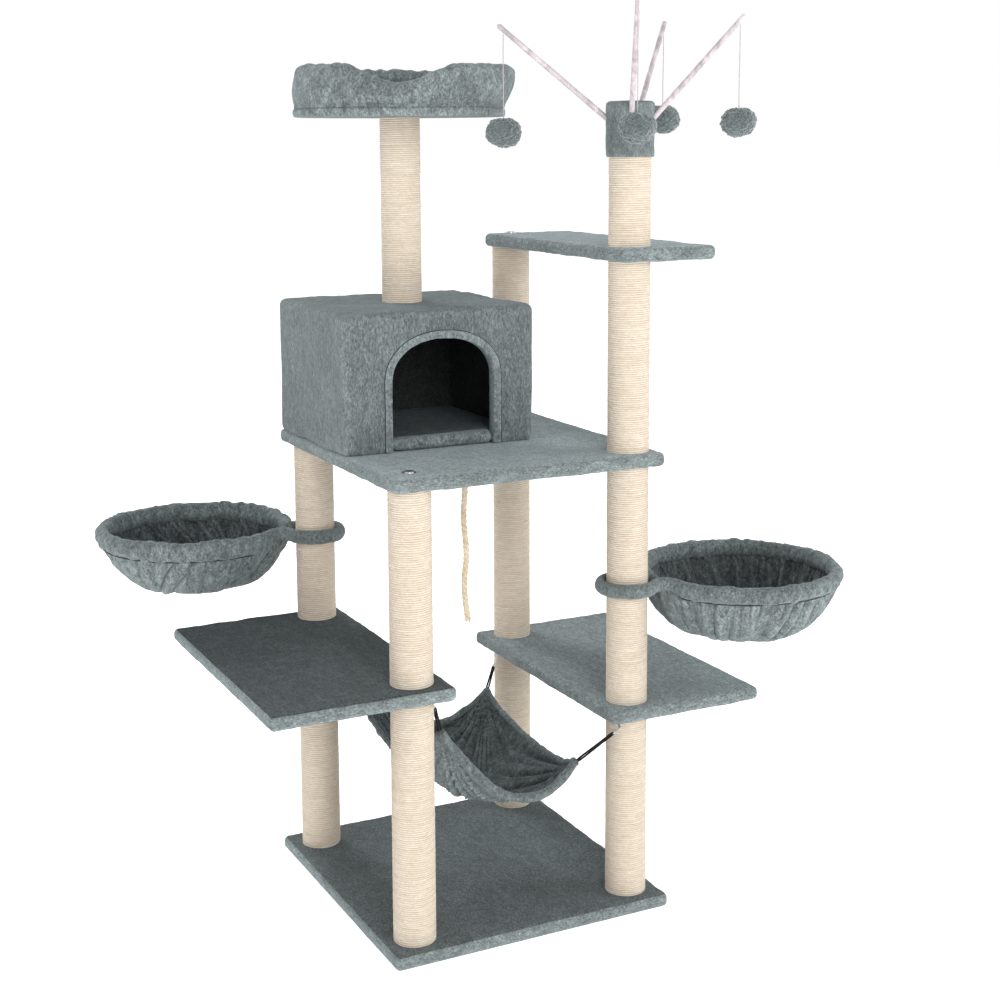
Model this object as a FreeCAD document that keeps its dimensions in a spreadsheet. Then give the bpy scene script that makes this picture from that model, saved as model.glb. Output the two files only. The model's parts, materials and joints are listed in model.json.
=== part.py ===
import FreeCAD, Part
import math
import os
import re
import Sketcher

# Cat tree: four sisal columns carry a base, two low shelves, a deck with a house, and an upper shelf.
# A fifth post on the house carries a round bed. Two wire-hoop baskets turn round the columns, a cloth
# hammock hangs under the low shelves, a rope hangs under the deck, and a toy head with four sticks
# dangles plush balls above the front right column.
# Frame: +X right along the base's front edge, +Y to the back, +Z up, in millimetres.
# The origin is the centre of the base's underside, which stands on the floor.

SIZES = {
    # sheet goods
    "board": 18, "plush": 4, "corner_round": 13, "board_corner": 9, "edge_round": 9,
    # posts
    "post_dia": 78, "tube_dia": 70, "tube_bore": 62, "plug_deep": 20,
    "column_x": 220, "column_y": 235, "post_long": 450, "post_short": 350, "post_stub": 160,
    "bed_post_x": -79, "bed_post_y": 111,
    # fasteners
    "bolt_dia": 8, "bolt_clear": 8.4, "bolt_head": 17, "head_tall": 2, "washer_dia": 25,
    "washer_thick": 1.5, "bolt_grip": 18, "bolt_well": 27,
    # plates, outer sizes with the plush on
    "base_wide": 560, "base_deep": 590,
    "left_shelf_west": -500, "left_shelf_east": -158,
    "right_shelf_west": 158, "right_shelf_east": 482,
    "shelf_south": -293, "shelf_north": 285,
    "deck_west": -269, "deck_east": 270, "deck_south": -285, "deck_north": 293,
    "upper_west": 174, "upper_east": 370, "upper_south": -293, "upper_north": 265,
    # house
    "house_west": -268, "house_east": 118, "house_south": -57, "house_north": 285,
    "house_tall": 260, "panel": 15, "door_middle": -70, "door_wide": 206, "door_tall": 206,
    "door_spring": 128, "binding_wide": 15, "binding_thick": 3,
    # bed
    "bed_radius": 210, "bed_tall": 104, "bed_foot": 204, "bed_inner": 168, "bed_board_radius": 194,
    "bed_board_thick": 15, "bed_dip": 65, "bed_dip_round": 195, "bed_dip_angle": -117,
    # baskets
    "wire_dia": 7, "sleeve_dia": 19, "ring_radius": 50.8, "neck_round": 25, "bowl_wall": 4,
    "left_hoop_radius": 181, "left_reach": 253, "left_turn": 142, "left_ring_level": 674,
    "left_bowl_deep": 126,
    "right_hoop_radius": 185, "right_reach": 257, "right_turn": 2, "right_ring_level": 623,
    "right_bowl_deep": 134,
    # hammock
    "cloth_thick": 5, "end_sag": 107, "west_sag": 100, "east_sag": 33, "belly_sag": 190,
    "elastic_dia": 5, "hook_dia": 3, "hook_long": 16, "eye_radius": 5, "eye_wire": 2.6,
    "eye_shank": 15, "eye_gap": 1.5, "corner_gap": 4,
    # toy head
    "block_dia": 87, "block_tall": 99, "block_round": 12, "stick_dia": 9, "stick_tip_dia": 7.5,
    "stick_root": 28, "string_dia": 1.6, "string_inset": 12, "string_gap": 8,
    "left_string": 152, "right_string": 150, "front_string": 187, "back_string": 144,
    "ball_wide": 67, "ball_tall": 57,
    # climbing rope
    "rope_dia": 12, "clamp_dia": 24, "clamp_thick": 3,
}

doc = FreeCAD.newDocument("CatTree")
dims = doc.addObject("Spreadsheet::Sheet", "Dims")
for row, (alias, size) in enumerate(SIZES.items(), start=1):
    dims.set(f"A{row}", str(size))
    dims.setAlias(f"A{row}", alias)
doc.recompute()


# ---------------------------------------------------------------- helpers
def on_sheet(expression):
    """The expression with every size name pointing at the sheet."""
    return re.sub(r"[a-z_]+", lambda word: "Dims." + word.group(0), str(expression))


def value(expression):
    """The number an expression on the sheet comes to."""
    answer = probe.evalExpression(on_sheet(expression))
    return float(getattr(answer, "Value", answer))


def bind(target, name, expression):
    """Drive a property, or a sketch constraint, from the sheet."""
    target.setExpression(name, on_sheet(expression))


def bind_place(target, x, y, z):
    """Drive an object's position from the sheet."""
    for axis, expression in zip("xyz", (x, y, z)):
        bind(target, f"Placement.Base.{axis}", expression)


def make(kind, label):
    """A document object of its own name and label."""
    thing = doc.addObject(kind, label)
    thing.Label = label
    return thing


def sketch_on(body, role):
    """An empty sketch flat on one of the body's own origin planes."""
    sketch = body.newObject("Sketcher::SketchObject", body.Name + "_sketch")
    plane = [feature for feature in body.Origin.OriginFeatures if feature.Role == role]
    sketch.AttachmentSupport = [(plane[0], "")]
    sketch.MapMode = "FlatFace"
    return sketch


def fix_point(sketch, edge, end, x, y):
    """Hold one end of a sketch edge at a place given by two sheet expressions."""
    for kind, expression in (("DistanceX", x), ("DistanceY", y)):
        rule = sketch.addConstraint(Sketcher.Constraint(kind, -1, 1, edge, end, value(expression)))
        bind(sketch, f"Constraints[{rule}]", expression)


def add_outline(sketch, corners):
    """A closed polygon through corners given as pairs of sheet expressions."""
    places = [FreeCAD.Vector(value(x), value(y), 0) for x, y in corners]
    first = len(sketch.Geometry)
    count = len(corners)
    for index in range(count):
        sketch.addGeometry(Part.LineSegment(places[index], places[(index + 1) % count]))
    for index in range(count):
        follower = first + (index + 1) % count
        sketch.addConstraint(Sketcher.Constraint("Coincident", first + index, 2, follower, 1))
        fix_point(sketch, first + index, 1, *corners[index])


def add_circle(sketch, diameter):
    """A circle about the sketch's origin."""
    radius = value(f"{diameter} / 2")
    edge = sketch.addGeometry(Part.Circle(FreeCAD.Vector(), FreeCAD.Vector(0, 0, 1), radius))
    sketch.addConstraint(Sketcher.Constraint("Coincident", edge, 3, -1, 1))
    rule = sketch.addConstraint(Sketcher.Constraint("Radius", edge, radius))
    bind(sketch, f"Constraints[{rule}]", f"{diameter} / 2")


def add_arch(sketch, half_wide, low, spring, top):
    """A doorway outline about the sketch's vertical axis: two uprights, a sill and a round top."""
    half, rise = value(half_wide), value(top) - value(spring)
    level = value(spring)
    radius = (half * half + rise * rise) / (2 * rise)
    corners = [(half, value(low)), (half, level), (-half, level), (-half, value(low))]
    places = [FreeCAD.Vector(x, y, 0) for x, y in corners]
    crown = FreeCAD.Vector(0, level + rise, 0)
    first = len(sketch.Geometry)
    sketch.addGeometry(Part.LineSegment(places[0], places[1]))
    sketch.addGeometry(Part.Arc(places[1], crown, places[2]))
    sketch.addGeometry(Part.LineSegment(places[2], places[3]))
    sketch.addGeometry(Part.LineSegment(places[3], places[0]))
    sketch.addConstraint(Sketcher.Constraint("Coincident", first, 2, first + 1, 1))
    sketch.addConstraint(Sketcher.Constraint("Coincident", first + 1, 2, first + 2, 1))
    sketch.addConstraint(Sketcher.Constraint("Coincident", first + 2, 2, first + 3, 1))
    sketch.addConstraint(Sketcher.Constraint("Coincident", first + 3, 2, first, 1))
    fix_point(sketch, first, 1, half_wide, low)
    fix_point(sketch, first, 2, half_wide, spring)
    fix_point(sketch, first + 2, 1, f"-({half_wide})", spring)
    fix_point(sketch, first + 3, 1, f"-({half_wide})", low)
    rule = sketch.addConstraint(Sketcher.Constraint("Radius", first + 1, radius))
    bulge = f"(({half_wide}) ^ 2 + ({top} - ({spring})) ^ 2) / (2 * ({top} - ({spring})))"
    bind(sketch, f"Constraints[{rule}]", bulge)


def pad(body, sketch, length):
    """Extrude a sketch of the body along its plane's normal."""
    feature = body.newObject("PartDesign::Pad", body.Name + "_pad")
    feature.Profile = sketch
    bind(feature, "Length", length)
    doc.recompute()
    return feature


def round_edges(body, base, radius, chosen):
    """Round the edges of the body's last feature that the test picks."""
    edges = enumerate(base.Shape.Edges, start=1)
    names = [f"Edge{number}" for number, edge in edges if chosen(edge.BoundBox)]
    feature = body.newObject("PartDesign::Fillet", body.Name + "_round")
    feature.Base = (base, names)
    bind(feature, "Radius", radius)
    doc.recompute()
    return feature


def is_upright(box):
    return box.XLength + box.YLength < 0.01


def is_level(box):
    return box.ZLength < 0.01


def plate(label, west, east, south, north, low, thick, corner, edge=None):
    """A flat rectangle with rounded corners and, where asked, rounded top and bottom edges."""
    body = make("PartDesign::Body", label)
    sketch = sketch_on(body, "XY_Plane")
    add_outline(sketch, [(west, south), (east, south), (east, north), (west, north)])
    last = round_edges(body, pad(body, sketch, thick), corner, is_upright)
    if edge:
        round_edges(body, last, edge, is_level)
    bind(body, "Placement.Base.z", low)
    return body


def block(label, west, east, south, north, low, high):
    """A plain box between six limits."""
    box = make("Part::Box", label)
    bind(box, "Length", f"({east}) - ({west})")
    bind(box, "Width", f"({north}) - ({south})")
    bind(box, "Height", f"({high}) - ({low})")
    bind_place(box, west, south, low)
    return box


def rod(label, diameter, length, x, y, z):
    """An upright cylinder standing on (x, y, z)."""
    cylinder = make("Part::Cylinder", label)
    bind(cylinder, "Radius", f"({diameter}) / 2")
    bind(cylinder, "Height", length)
    bind_place(cylinder, x, y, z)
    return cylinder


def fuse(label, pieces):
    joined = make("Part::MultiFuse", label)
    joined.Shapes = pieces
    return joined


def cut(label, base, tool):
    result = make("Part::Cut", label)
    result.Base = base
    result.Tool = tool
    return result


def group(label, pieces):
    together = make("Part::Compound", label)
    together.Links = pieces
    return together


def pipe(label, diameter, height, x, y, z):
    """A tube: diameter is a pair, outside and inside."""
    body = make("PartDesign::Body", label)
    sketch = sketch_on(body, "XY_Plane")
    for size in diameter:
        add_circle(sketch, size)
    pad(body, sketch, height)
    bind_place(body, x, y, z)
    return body


def solid_feature(label, shape):
    """A sub-part whose shape is worked out here from the sheet's sizes."""
    feature = make("Part::Feature", label)
    feature.Shape = shape
    return feature


def bearing(degrees, reach=1.0, level=0.0):
    """The vector that lies at a compass angle from +X."""
    turn = math.radians(degrees)
    return FreeCAD.Vector(reach * math.cos(turn), reach * math.sin(turn), level)


def aimed(start, finish):
    """The placement that puts an upright object's foot at start and points it at finish."""
    turn = FreeCAD.Rotation(FreeCAD.Vector(0, 0, 1), finish - start)
    return FreeCAD.Placement(start, turn)


probe = make("App::FeaturePython", "Probe")

# ---------------------------------------------------------------- levels
SLAB = "(board + 2 * plush)"
BASE_TOP = SLAB
LEFT_LOW = f"({BASE_TOP} + post_long)"
LEFT_TOP = f"({LEFT_LOW} + {SLAB})"
RIGHT_LOW = f"({BASE_TOP} + post_short)"
RIGHT_TOP = f"({RIGHT_LOW} + {SLAB})"
DECK_LOW = f"({LEFT_TOP} + post_short)"
DECK_TOP = f"({DECK_LOW} + {SLAB})"
UPPER_LOW = f"({DECK_TOP} + post_short)"
UPPER_TOP = f"({UPPER_LOW} + {SLAB})"
STUB_TOP = f"({UPPER_TOP} + post_stub)"
ROOF_TOP = f"({DECK_TOP} + house_tall)"
BED_LOW = f"({ROOF_TOP} + post_short)"

REAR_LEFT = ("-column_x", "column_y")
FRONT_LEFT = ("-column_x", "-column_y")
FRONT_RIGHT = ("column_x", "-column_y")
REAR_RIGHT = ("column_x", "column_y")
BED_POST = ("bed_post_x", "bed_post_y")
# Each column's bolt holes run between two levels, through every plate and panel on the way.
COLUMNS = {
    "rear_left": (REAR_LEFT, "0", f"({DECK_TOP} + panel)"),
    "front_left": (FRONT_LEFT, "0", DECK_TOP),
    "front_right": (FRONT_RIGHT, "0", UPPER_TOP),
    "rear_right": (REAR_RIGHT, "0", UPPER_TOP),
    "bed_post": (BED_POST, f"({ROOF_TOP} - plush - panel)", f"({BED_LOW} + 40)"),
}

# ---------------------------------------------------------------- holes that run down the columns
bolt_lines = fuse("bolt_lines", [
    rod(f"{name}_line", "bolt_clear", f"{high} - {low} + 2", *column, f"{low} - 1")
    for name, (column, low, high) in COLUMNS.items()
])

# ---------------------------------------------------------------- hammock corners and their eyes
HAMMOCK_CORNERS = {
    "front_left": ("-160", "-222", "395"), "front_right": ("115", "-230", "293"),
    "back_left": ("-150", "195", "371"), "back_right": ("136", "188", "301"),
}
EYES = {
    "front_left": ("-176", "-226", LEFT_LOW), "front_right": ("186", "-268", RIGHT_LOW),
    "back_left": ("-176", "202", LEFT_LOW), "back_right": ("166", "206", RIGHT_LOW),
}


def place_of(corner):
    return FreeCAD.Vector(*[value(part) for part in corner])


def shank(name):
    """The threaded end of a screw eye, driven up into the shelf."""
    x, y, low = EYES[name]
    return rod(f"{name}_shank", "eye_wire", "eye_shank + eye_gap", x, y, f"{low} - eye_gap")


shanks = {name: shank(name) for name in EYES}


# ---------------------------------------------------------------- plush-covered plates
def covered_plate(name, west, east, south, north, low, openings):
    """A chipboard and the plush that wraps it; openings are cut through both."""
    inset = [f"{west} + plush", f"{east} - plush", f"{south} + plush", f"{north} - plush"]
    blank = plate(f"{name}_board_blank", *inset, f"{low} + plush", "board", "board_corner")
    wrap = plate(f"{name}_wrap", west, east, south, north, low, SLAB, "corner_round", "edge_round")
    holes = fuse(f"{name}_holes", [bolt_lines] + openings["both"])
    cut(f"{name}_board", blank, holes)
    inside = fuse(f"{name}_inside", [blank, holes] + openings["wrap"])
    cut(f"{name}_cover", wrap, inside)


# Wells in the plush under the base take the four bolt heads and their washers.
STANDING = ["rear_left", "front_left", "front_right", "rear_right"]
wells = [rod(f"{name}_well", "bolt_well", "plush + 1", *COLUMNS[name][0], "-1") for name in STANDING]
plain = {"both": [], "wrap": []}
covered_plate("base", "-base_wide / 2", "base_wide / 2", "-base_deep / 2", "base_deep / 2", "0",
              {"both": [], "wrap": wells})
covered_plate("left_shelf", "left_shelf_west", "left_shelf_east", "shelf_south", "shelf_north",
              LEFT_LOW, {"both": [shanks["front_left"], shanks["back_left"]], "wrap": []})
covered_plate("right_shelf", "right_shelf_west", "right_shelf_east", "shelf_south", "shelf_north",
              RIGHT_LOW, {"both": [shanks["front_right"], shanks["back_right"]], "wrap": []})
covered_plate("deck", "deck_west", "deck_east", "deck_south", "deck_north", DECK_LOW, plain)
covered_plate("upper_shelf", "upper_west", "upper_east", "upper_south", "upper_north",
              UPPER_LOW, plain)

# ---------------------------------------------------------------- posts
POSTS = [
    ("rear_left_sisal_lower", REAR_LEFT, BASE_TOP, "post_long"),
    ("rear_left_sisal_upper", REAR_LEFT, LEFT_TOP, "post_short"),
    ("front_left_sisal_lower", FRONT_LEFT, BASE_TOP, "post_long"),
    ("front_left_sisal_upper", FRONT_LEFT, LEFT_TOP, "post_short"),
    ("front_right_sisal_lower", FRONT_RIGHT, BASE_TOP, "post_short"),
    ("front_right_sisal_middle", FRONT_RIGHT, RIGHT_TOP, "post_long"),
    ("front_right_sisal_upper", FRONT_RIGHT, DECK_TOP, "post_short"),
    ("front_right_sisal_top", FRONT_RIGHT, UPPER_TOP, "post_stub"),
    ("rear_right_sisal_lower", REAR_RIGHT, BASE_TOP, "post_short"),
    ("rear_right_sisal_middle", REAR_RIGHT, RIGHT_TOP, "post_long"),
    ("rear_right_sisal_upper", REAR_RIGHT, DECK_TOP, "post_short"),
    ("bed_post_sisal", BED_POST, ROOF_TOP, "post_short"),
]
tubes = []
plugs = []
for name, (x, y), low, height in POSTS:
    pipe(name, ("post_dia", "tube_dia"), height, x, y, low)
    core = name.replace("sisal", "tube")
    tubes.append(pipe(core, ("tube_dia", "tube_bore"), height, x, y, low))
    for end, level in (("foot", low), ("head", f"{low} + {height} - plug_deep")):
        plugs.append(pipe(f"{core}_{end}", ("tube_bore", "bolt_clear"), "plug_deep", x, y, level))
group("post_tubes", tubes)
group("post_plugs", plugs)

# ---------------------------------------------------------------- fasteners
STUD_SPOTS = [
    (REAR_LEFT, LEFT_LOW), (FRONT_LEFT, LEFT_LOW), (FRONT_RIGHT, RIGHT_LOW),
    (REAR_RIGHT, RIGHT_LOW), (FRONT_RIGHT, DECK_LOW), (REAR_RIGHT, DECK_LOW),
    (FRONT_RIGHT, UPPER_LOW),
]
studs = [
    rod(f"stud_{number}", "bolt_dia", f"{SLAB} + 2 * bolt_grip", x, y, f"{low} - bolt_grip")
    for number, ((x, y), low) in enumerate(STUD_SPOTS, start=1)
]
studs.append(rod("stud_block", "bolt_dia", "2 * bolt_grip", *FRONT_RIGHT, f"{STUB_TOP} - bolt_grip"))
group("post_studs", studs)

bolts = []
washers = []


def bolt(name, column, seat, far):
    """A flat-headed bolt whose washer lies on seat and whose shank reaches far, up or down."""
    x, y = column
    upward = value(far) > value(seat)
    washer_low = f"{seat} - washer_thick" if upward else seat
    under_head = washer_low if upward else f"{seat} + washer_thick"
    head_low = f"{under_head} - head_tall" if upward else under_head
    low, high = (under_head, far) if upward else (far, under_head)
    head = rod(f"{name}_head", "bolt_head", "head_tall", x, y, head_low)
    shaft = rod(f"{name}_shaft", "bolt_dia", f"({high}) - ({low})", x, y, low)
    bolts.append(fuse(f"{name}_bolt", [head, shaft]))
    washers.append(pipe(f"{name}_washer", ("washer_dia", "bolt_clear"), "washer_thick",
                        x, y, washer_low))


for name in STANDING:
    bolt(f"{name}_foot", COLUMNS[name][0], "plush", f"{BASE_TOP} + bolt_grip")
bolt("front_left_deck", FRONT_LEFT, DECK_TOP, f"{DECK_LOW} - bolt_grip")
bolt("house_floor", REAR_LEFT, f"{DECK_TOP} + panel", f"{DECK_LOW} - bolt_grip")
bolt("upper_shelf", REAR_RIGHT, UPPER_TOP, f"{UPPER_LOW} - bolt_grip")
bolt("house_roof", BED_POST, f"{ROOF_TOP} - plush - panel", f"{ROOF_TOP} + bolt_grip")
bolt("bed_floor", BED_POST, f"{BED_LOW} + 2 * plush + bed_board_thick", f"{BED_LOW} - bolt_grip")
group("post_bolts", bolts)
group("bolt_washers", washers)

# ---------------------------------------------------------------- house
FACE_WEST, FACE_EAST = "house_west + plush", "house_east - plush"
FACE_SOUTH, FACE_NORTH = "house_south + plush", "house_north - plush"
FLOOR_TOP = f"({DECK_TOP} + panel)"
WALL_TOP = f"({ROOF_TOP} - plush - panel)"
house_floor_blank = block("house_floor_blank", FACE_WEST, FACE_EAST, FACE_SOUTH, FACE_NORTH,
                          DECK_TOP, FLOOR_TOP)
cut("house_floor", house_floor_blank, bolt_lines)
block("house_left_wall", FACE_WEST, f"{FACE_WEST} + panel", FACE_SOUTH, FACE_NORTH,
      FLOOR_TOP, WALL_TOP)
block("house_right_wall", f"{FACE_EAST} - panel", FACE_EAST, FACE_SOUTH, FACE_NORTH,
      FLOOR_TOP, WALL_TOP)
block("house_back_wall", f"{FACE_WEST} + panel", f"{FACE_EAST} - panel",
      f"{FACE_NORTH} - panel", FACE_NORTH, FLOOR_TOP, WALL_TOP)
house_roof_blank = block("house_roof_blank", FACE_WEST, FACE_EAST, FACE_SOUTH, FACE_NORTH,
                         WALL_TOP, f"{WALL_TOP} + panel")
cut("house_roof", house_roof_blank, bolt_lines)


def arch_body(name, widen, low, front, deep):
    """An arched prism, wider than the doorway by widen each side, from y = front back by deep."""
    body = make("PartDesign::Body", name)
    sketch = sketch_on(body, "XZ_Plane")
    add_arch(sketch, f"(door_wide / 2 + {widen})", low, f"{DECK_TOP} + door_spring",
             f"{DECK_TOP} + door_tall + {widen}")
    # The plane's normal is -Y, so the pad runs towards the front from its far face.
    pad(body, sketch, deep)
    bind_place(body, "door_middle", f"{front} + {deep}", "0")
    return body


front_blank = block("front_wall_blank", f"{FACE_WEST} + panel", f"{FACE_EAST} - panel",
                    FACE_SOUTH, f"{FACE_SOUTH} + panel", FLOOR_TOP, WALL_TOP)
doorway = arch_body("doorway", "binding_thick", f"{DECK_TOP} - 1", "house_south - 5",
                    "(plush + panel + 10)")
cut("house_front_wall", front_blank, doorway)

house_wrap = plate("house_wrap", "house_west", "house_east", "house_south", "house_north",
                   DECK_TOP, "house_tall", "corner_round")
round_edges(house_wrap, house_wrap.Tip, "edge_round",
            lambda box: is_level(box) and box.ZMax > value("house_tall") - 1)
house_hollow = block("house_hollow", FACE_WEST, FACE_EAST, FACE_SOUTH, FACE_NORTH,
                     f"{DECK_TOP} - 1", f"{ROOF_TOP} - plush")
cut("house_cover", house_wrap, fuse("house_inside", [house_hollow, doorway, bolt_lines]))

# The doorway's edge is bound by a flat band on the front and a thin lining through the wall.
band = arch_body("door_band", "binding_wide", DECK_TOP, "house_south - binding_thick",
                 "binding_thick")
lining = arch_body("door_lining", "binding_thick", FLOOR_TOP, "house_south", "(plush + panel)")
way_in = arch_body("way_in", "0", f"{DECK_TOP} - 1", "house_south - 10", "(plush + panel + 20)")
cut("door_binding", fuse("door_edges", [band, lining]), way_in)

# ---------------------------------------------------------------- bed
BOARD_LOW = f"({BED_LOW} + plush)"
BOARD_HIGH = f"({BOARD_LOW} + bed_board_thick)"
pipe("bed_board", ("2 * bed_board_radius", "bolt_clear"), "bed_board_thick", *BED_POST, BOARD_LOW)

ring_body = make("PartDesign::Body", "bed_ring")
ring_sketch = sketch_on(ring_body, "XZ_Plane")
add_outline(ring_sketch, [
    ("bolt_clear / 2", "0"), ("bed_foot", "0"), ("bed_radius - 1", "plush * 3"),
    ("bed_radius", "bed_tall / 2"), ("bed_radius - 6", "bed_tall - 8"),
    ("bed_radius - 20", "bed_tall"), ("bed_inner + 8", "bed_tall"),
    ("bed_inner", "bed_tall - 14"), ("bed_inner", "2 * plush + bed_board_thick"),
    ("bolt_clear / 2", "2 * plush + bed_board_thick"), ("bolt_clear / 2", "plush + bed_board_thick"),
    ("bed_board_radius", "plush + bed_board_thick"), ("bed_board_radius", "plush"),
    ("bolt_clear / 2", "plush"),
])
turned = ring_body.newObject("PartDesign::Revolution", "bed_ring_turned")
turned.Profile = ring_sketch
turned.ReferenceAxis = (ring_sketch, ["V_Axis"])
turned.Angle = 360
bind_place(ring_body, *BED_POST, BED_LOW)
# A cylinder lying along the entrance's direction scoops the low lip out of the wall.
scoop = make("Part::Cylinder", "bed_scoop")
bind(scoop, "Radius", "bed_dip_round")
bind(scoop, "Height", "bed_radius + 20")
scoop_start = FreeCAD.Vector(value("bed_post_x"), value("bed_post_y"),
                             value(f"{BED_LOW} + bed_dip + bed_dip_round"))
scoop.Placement = aimed(scoop_start, scoop_start + bearing(value("bed_dip_angle"), 100))
cut("bed_bolster", ring_body, scoop)


# ---------------------------------------------------------------- baskets
def arc_between(centre, radius, start, sweep):
    """An arc from a start angle through a sweep in degrees, in the plane of the hoop."""
    stops = [centre + bearing(start + sweep * part, radius) for part in (0, 0.5, 1)]
    return Part.Arc(*stops).toShape()


def keyhole(side):
    """The closed centreline of a basket's wire: hoop, waisted neck, and ring round the post."""
    hoop, ring = value(f"{side}_hoop_radius"), value("ring_radius")
    waist, reach = value("neck_round"), value(f"{side}_reach")
    along = (reach ** 2 + (ring + waist) ** 2 - (hoop + waist) ** 2) / (2 * reach)
    across = math.sqrt((ring + waist) ** 2 - along ** 2)
    centre = FreeCAD.Vector(reach, 0, 0)
    at_ring = math.degrees(math.atan2(across, along))
    at_hoop = math.degrees(math.atan2(across, along - reach))
    left = FreeCAD.Vector(along, across, 0)
    right = FreeCAD.Vector(along, -across, 0)
    turn = at_hoop - at_ring
    edges = [
        arc_between(FreeCAD.Vector(), ring, 180, 180 - at_ring),
        arc_between(right, waist, 180 - at_ring, -turn),
        arc_between(centre, hoop, -at_hoop, at_hoop),
        arc_between(centre, hoop, 0, at_hoop),
        arc_between(left, waist, at_hoop - 180, -turn),
        arc_between(FreeCAD.Vector(), ring, at_ring, 180 - at_ring),
    ]
    return Part.Wire(edges)


def keyhole_tube(label, side, diameter):
    """A round tube swept along the keyhole, lying flat, with the post at its origin."""
    path = keyhole(side)
    start = FreeCAD.Vector(-value("ring_radius"), 0, 0)
    circle = Part.Circle(start, FreeCAD.Vector(0, 1, 0), value(diameter) / 2)
    section = Part.Wire([circle.toShape()])
    return solid_feature(label, path.makePipeShell([section], True, True))


def basket(side, column):
    """Wire frame, plush sleeve and sewn bowl of one basket, turned to its rest bearing."""
    post = FreeCAD.Vector(value(column[0]), value(column[1]), value(f"{side}_ring_level"))
    turn = FreeCAD.Rotation(FreeCAD.Vector(0, 0, 1), value(f"{side}_turn"))
    wire = keyhole_tube(f"{side}_basket_wire", side, "wire_dia")
    fat = keyhole_tube(f"{side}_sleeve_blank", side, "sleeve_dia")
    for piece in (wire, fat):
        piece.Placement = FreeCAD.Placement(post, turn)
    cut(f"{side}_basket_sleeve", fat, wire)
    middle = post + turn.multVec(FreeCAD.Vector(value(f"{side}_reach"), 0, 0))
    shells = []
    for name, shrink in (("outer", "0"), ("inner", "bowl_wall")):
        shell = make("Part::Ellipsoid", f"{side}_bowl_{name}")
        bind(shell, "Radius1", f"{side}_bowl_deep - {shrink}")
        bind(shell, "Radius2", f"{side}_hoop_radius + bowl_wall / 2 - {shrink}")
        bind(shell, "Radius3", f"{side}_hoop_radius + bowl_wall / 2 - {shrink}")
        shell.Placement = FreeCAD.Placement(middle, FreeCAD.Rotation())
        shells.append(shell)
    above = make("Part::Cylinder", f"{side}_bowl_mouth")
    bind(above, "Radius", f"{side}_hoop_radius + 40")
    bind(above, "Height", f"{side}_bowl_deep + 20")
    above.Placement = FreeCAD.Placement(middle - FreeCAD.Vector(0, 0, value("sleeve_dia") / 2 - 4),
                                        FreeCAD.Rotation())
    inside = fuse(f"{side}_bowl_inside", [shells[1], above, fat])
    cut(f"{side}_basket_bowl", shells[0], inside)


basket("left", REAR_LEFT)
basket("right", FRONT_RIGHT)


# ---------------------------------------------------------------- hammock
def hammock_shape():
    """A sagging cloth: a cubic patch through the four corners, thickened upwards."""
    corner = {name: place_of(spot) for name, spot in HAMMOCK_CORNERS.items()}
    end_rows = [0, value("end_sag"), value("end_sag"), 0]
    middle_rows = [value("west_sag"), value("belly_sag"), value("belly_sag"), value("east_sag")]
    poles = []
    for across in range(4):
        line = []
        for along in range(4):
            share, way = across / 3, along / 3
            front = corner["front_left"] * (1 - share) + corner["front_right"] * share
            back = corner["back_left"] * (1 - share) + corner["back_right"] * share
            drop = (middle_rows if along in (1, 2) else end_rows)[across]
            line.append(front * (1 - way) + back * way - FreeCAD.Vector(0, 0, drop))
        poles.append(line)
    patch = Part.BezierSurface()
    patch.increase(3, 3)
    for across in range(4):
        for along in range(4):
            patch.setPole(across + 1, along + 1, poles[across][along])
    return patch.toShape().extrude(FreeCAD.Vector(0, 0, value("cloth_thick")))


solid_feature("hammock_cloth", hammock_shape())

elastics = []
hooks = []
eyes = []
for name in HAMMOCK_CORNERS:
    corner = place_of(HAMMOCK_CORNERS[name]) + FreeCAD.Vector(0, 0, value("cloth_thick") / 2)
    eye_low = value("eye_gap") + 2 * value("eye_radius") + value("eye_wire")
    eye = place_of(EYES[name]) - FreeCAD.Vector(0, 0, eye_low + 1)
    line = (eye - corner).normalize()
    start = corner + line * value("corner_gap")
    hook_foot = eye - line * value("hook_long")
    cord = make("Part::Cylinder", f"{name}_elastic")
    bind(cord, "Radius", "elastic_dia / 2")
    cord.Height = (hook_foot - start).Length - 0.5
    cord.Placement = aimed(start, hook_foot)
    elastics.append(cord)
    hook = make("Part::Cylinder", f"{name}_hook")
    bind(hook, "Radius", "hook_dia / 2")
    bind(hook, "Height", "hook_long")
    hook.Placement = aimed(hook_foot, eye)
    hooks.append(hook)
    x, y, low = EYES[name]
    loop = make("Part::Torus", f"{name}_loop")
    bind(loop, "Radius1", "eye_radius")
    bind(loop, "Radius2", "eye_wire / 2")
    loop.Placement = FreeCAD.Placement(
        place_of(EYES[name]) - FreeCAD.Vector(0, 0, value("eye_gap + eye_radius")),
        FreeCAD.Rotation(FreeCAD.Vector(0, 1, 0), 90))
    eyes.append(fuse(f"{name}_eye", [loop, shanks[name]]))
group("hammock_elastics", elastics)
group("hammock_hooks", hooks)
group("hammock_screw_eyes", eyes)

# ---------------------------------------------------------------- toy head
CORE = "(block_dia - 2 * plush)"
core_blank = rod("block_blank", CORE, "block_tall - plush", *FRONT_RIGHT, STUB_TOP)
wrap_body = make("PartDesign::Body", "block_wrap")
wrap_sketch = sketch_on(wrap_body, "XY_Plane")
add_circle(wrap_sketch, "block_dia")
round_edges(wrap_body, pad(wrap_body, wrap_sketch, "block_tall"), "block_round",
            lambda box: is_level(box) and box.ZMax > 1)
bind_place(wrap_body, *FRONT_RIGHT, STUB_TOP)

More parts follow.
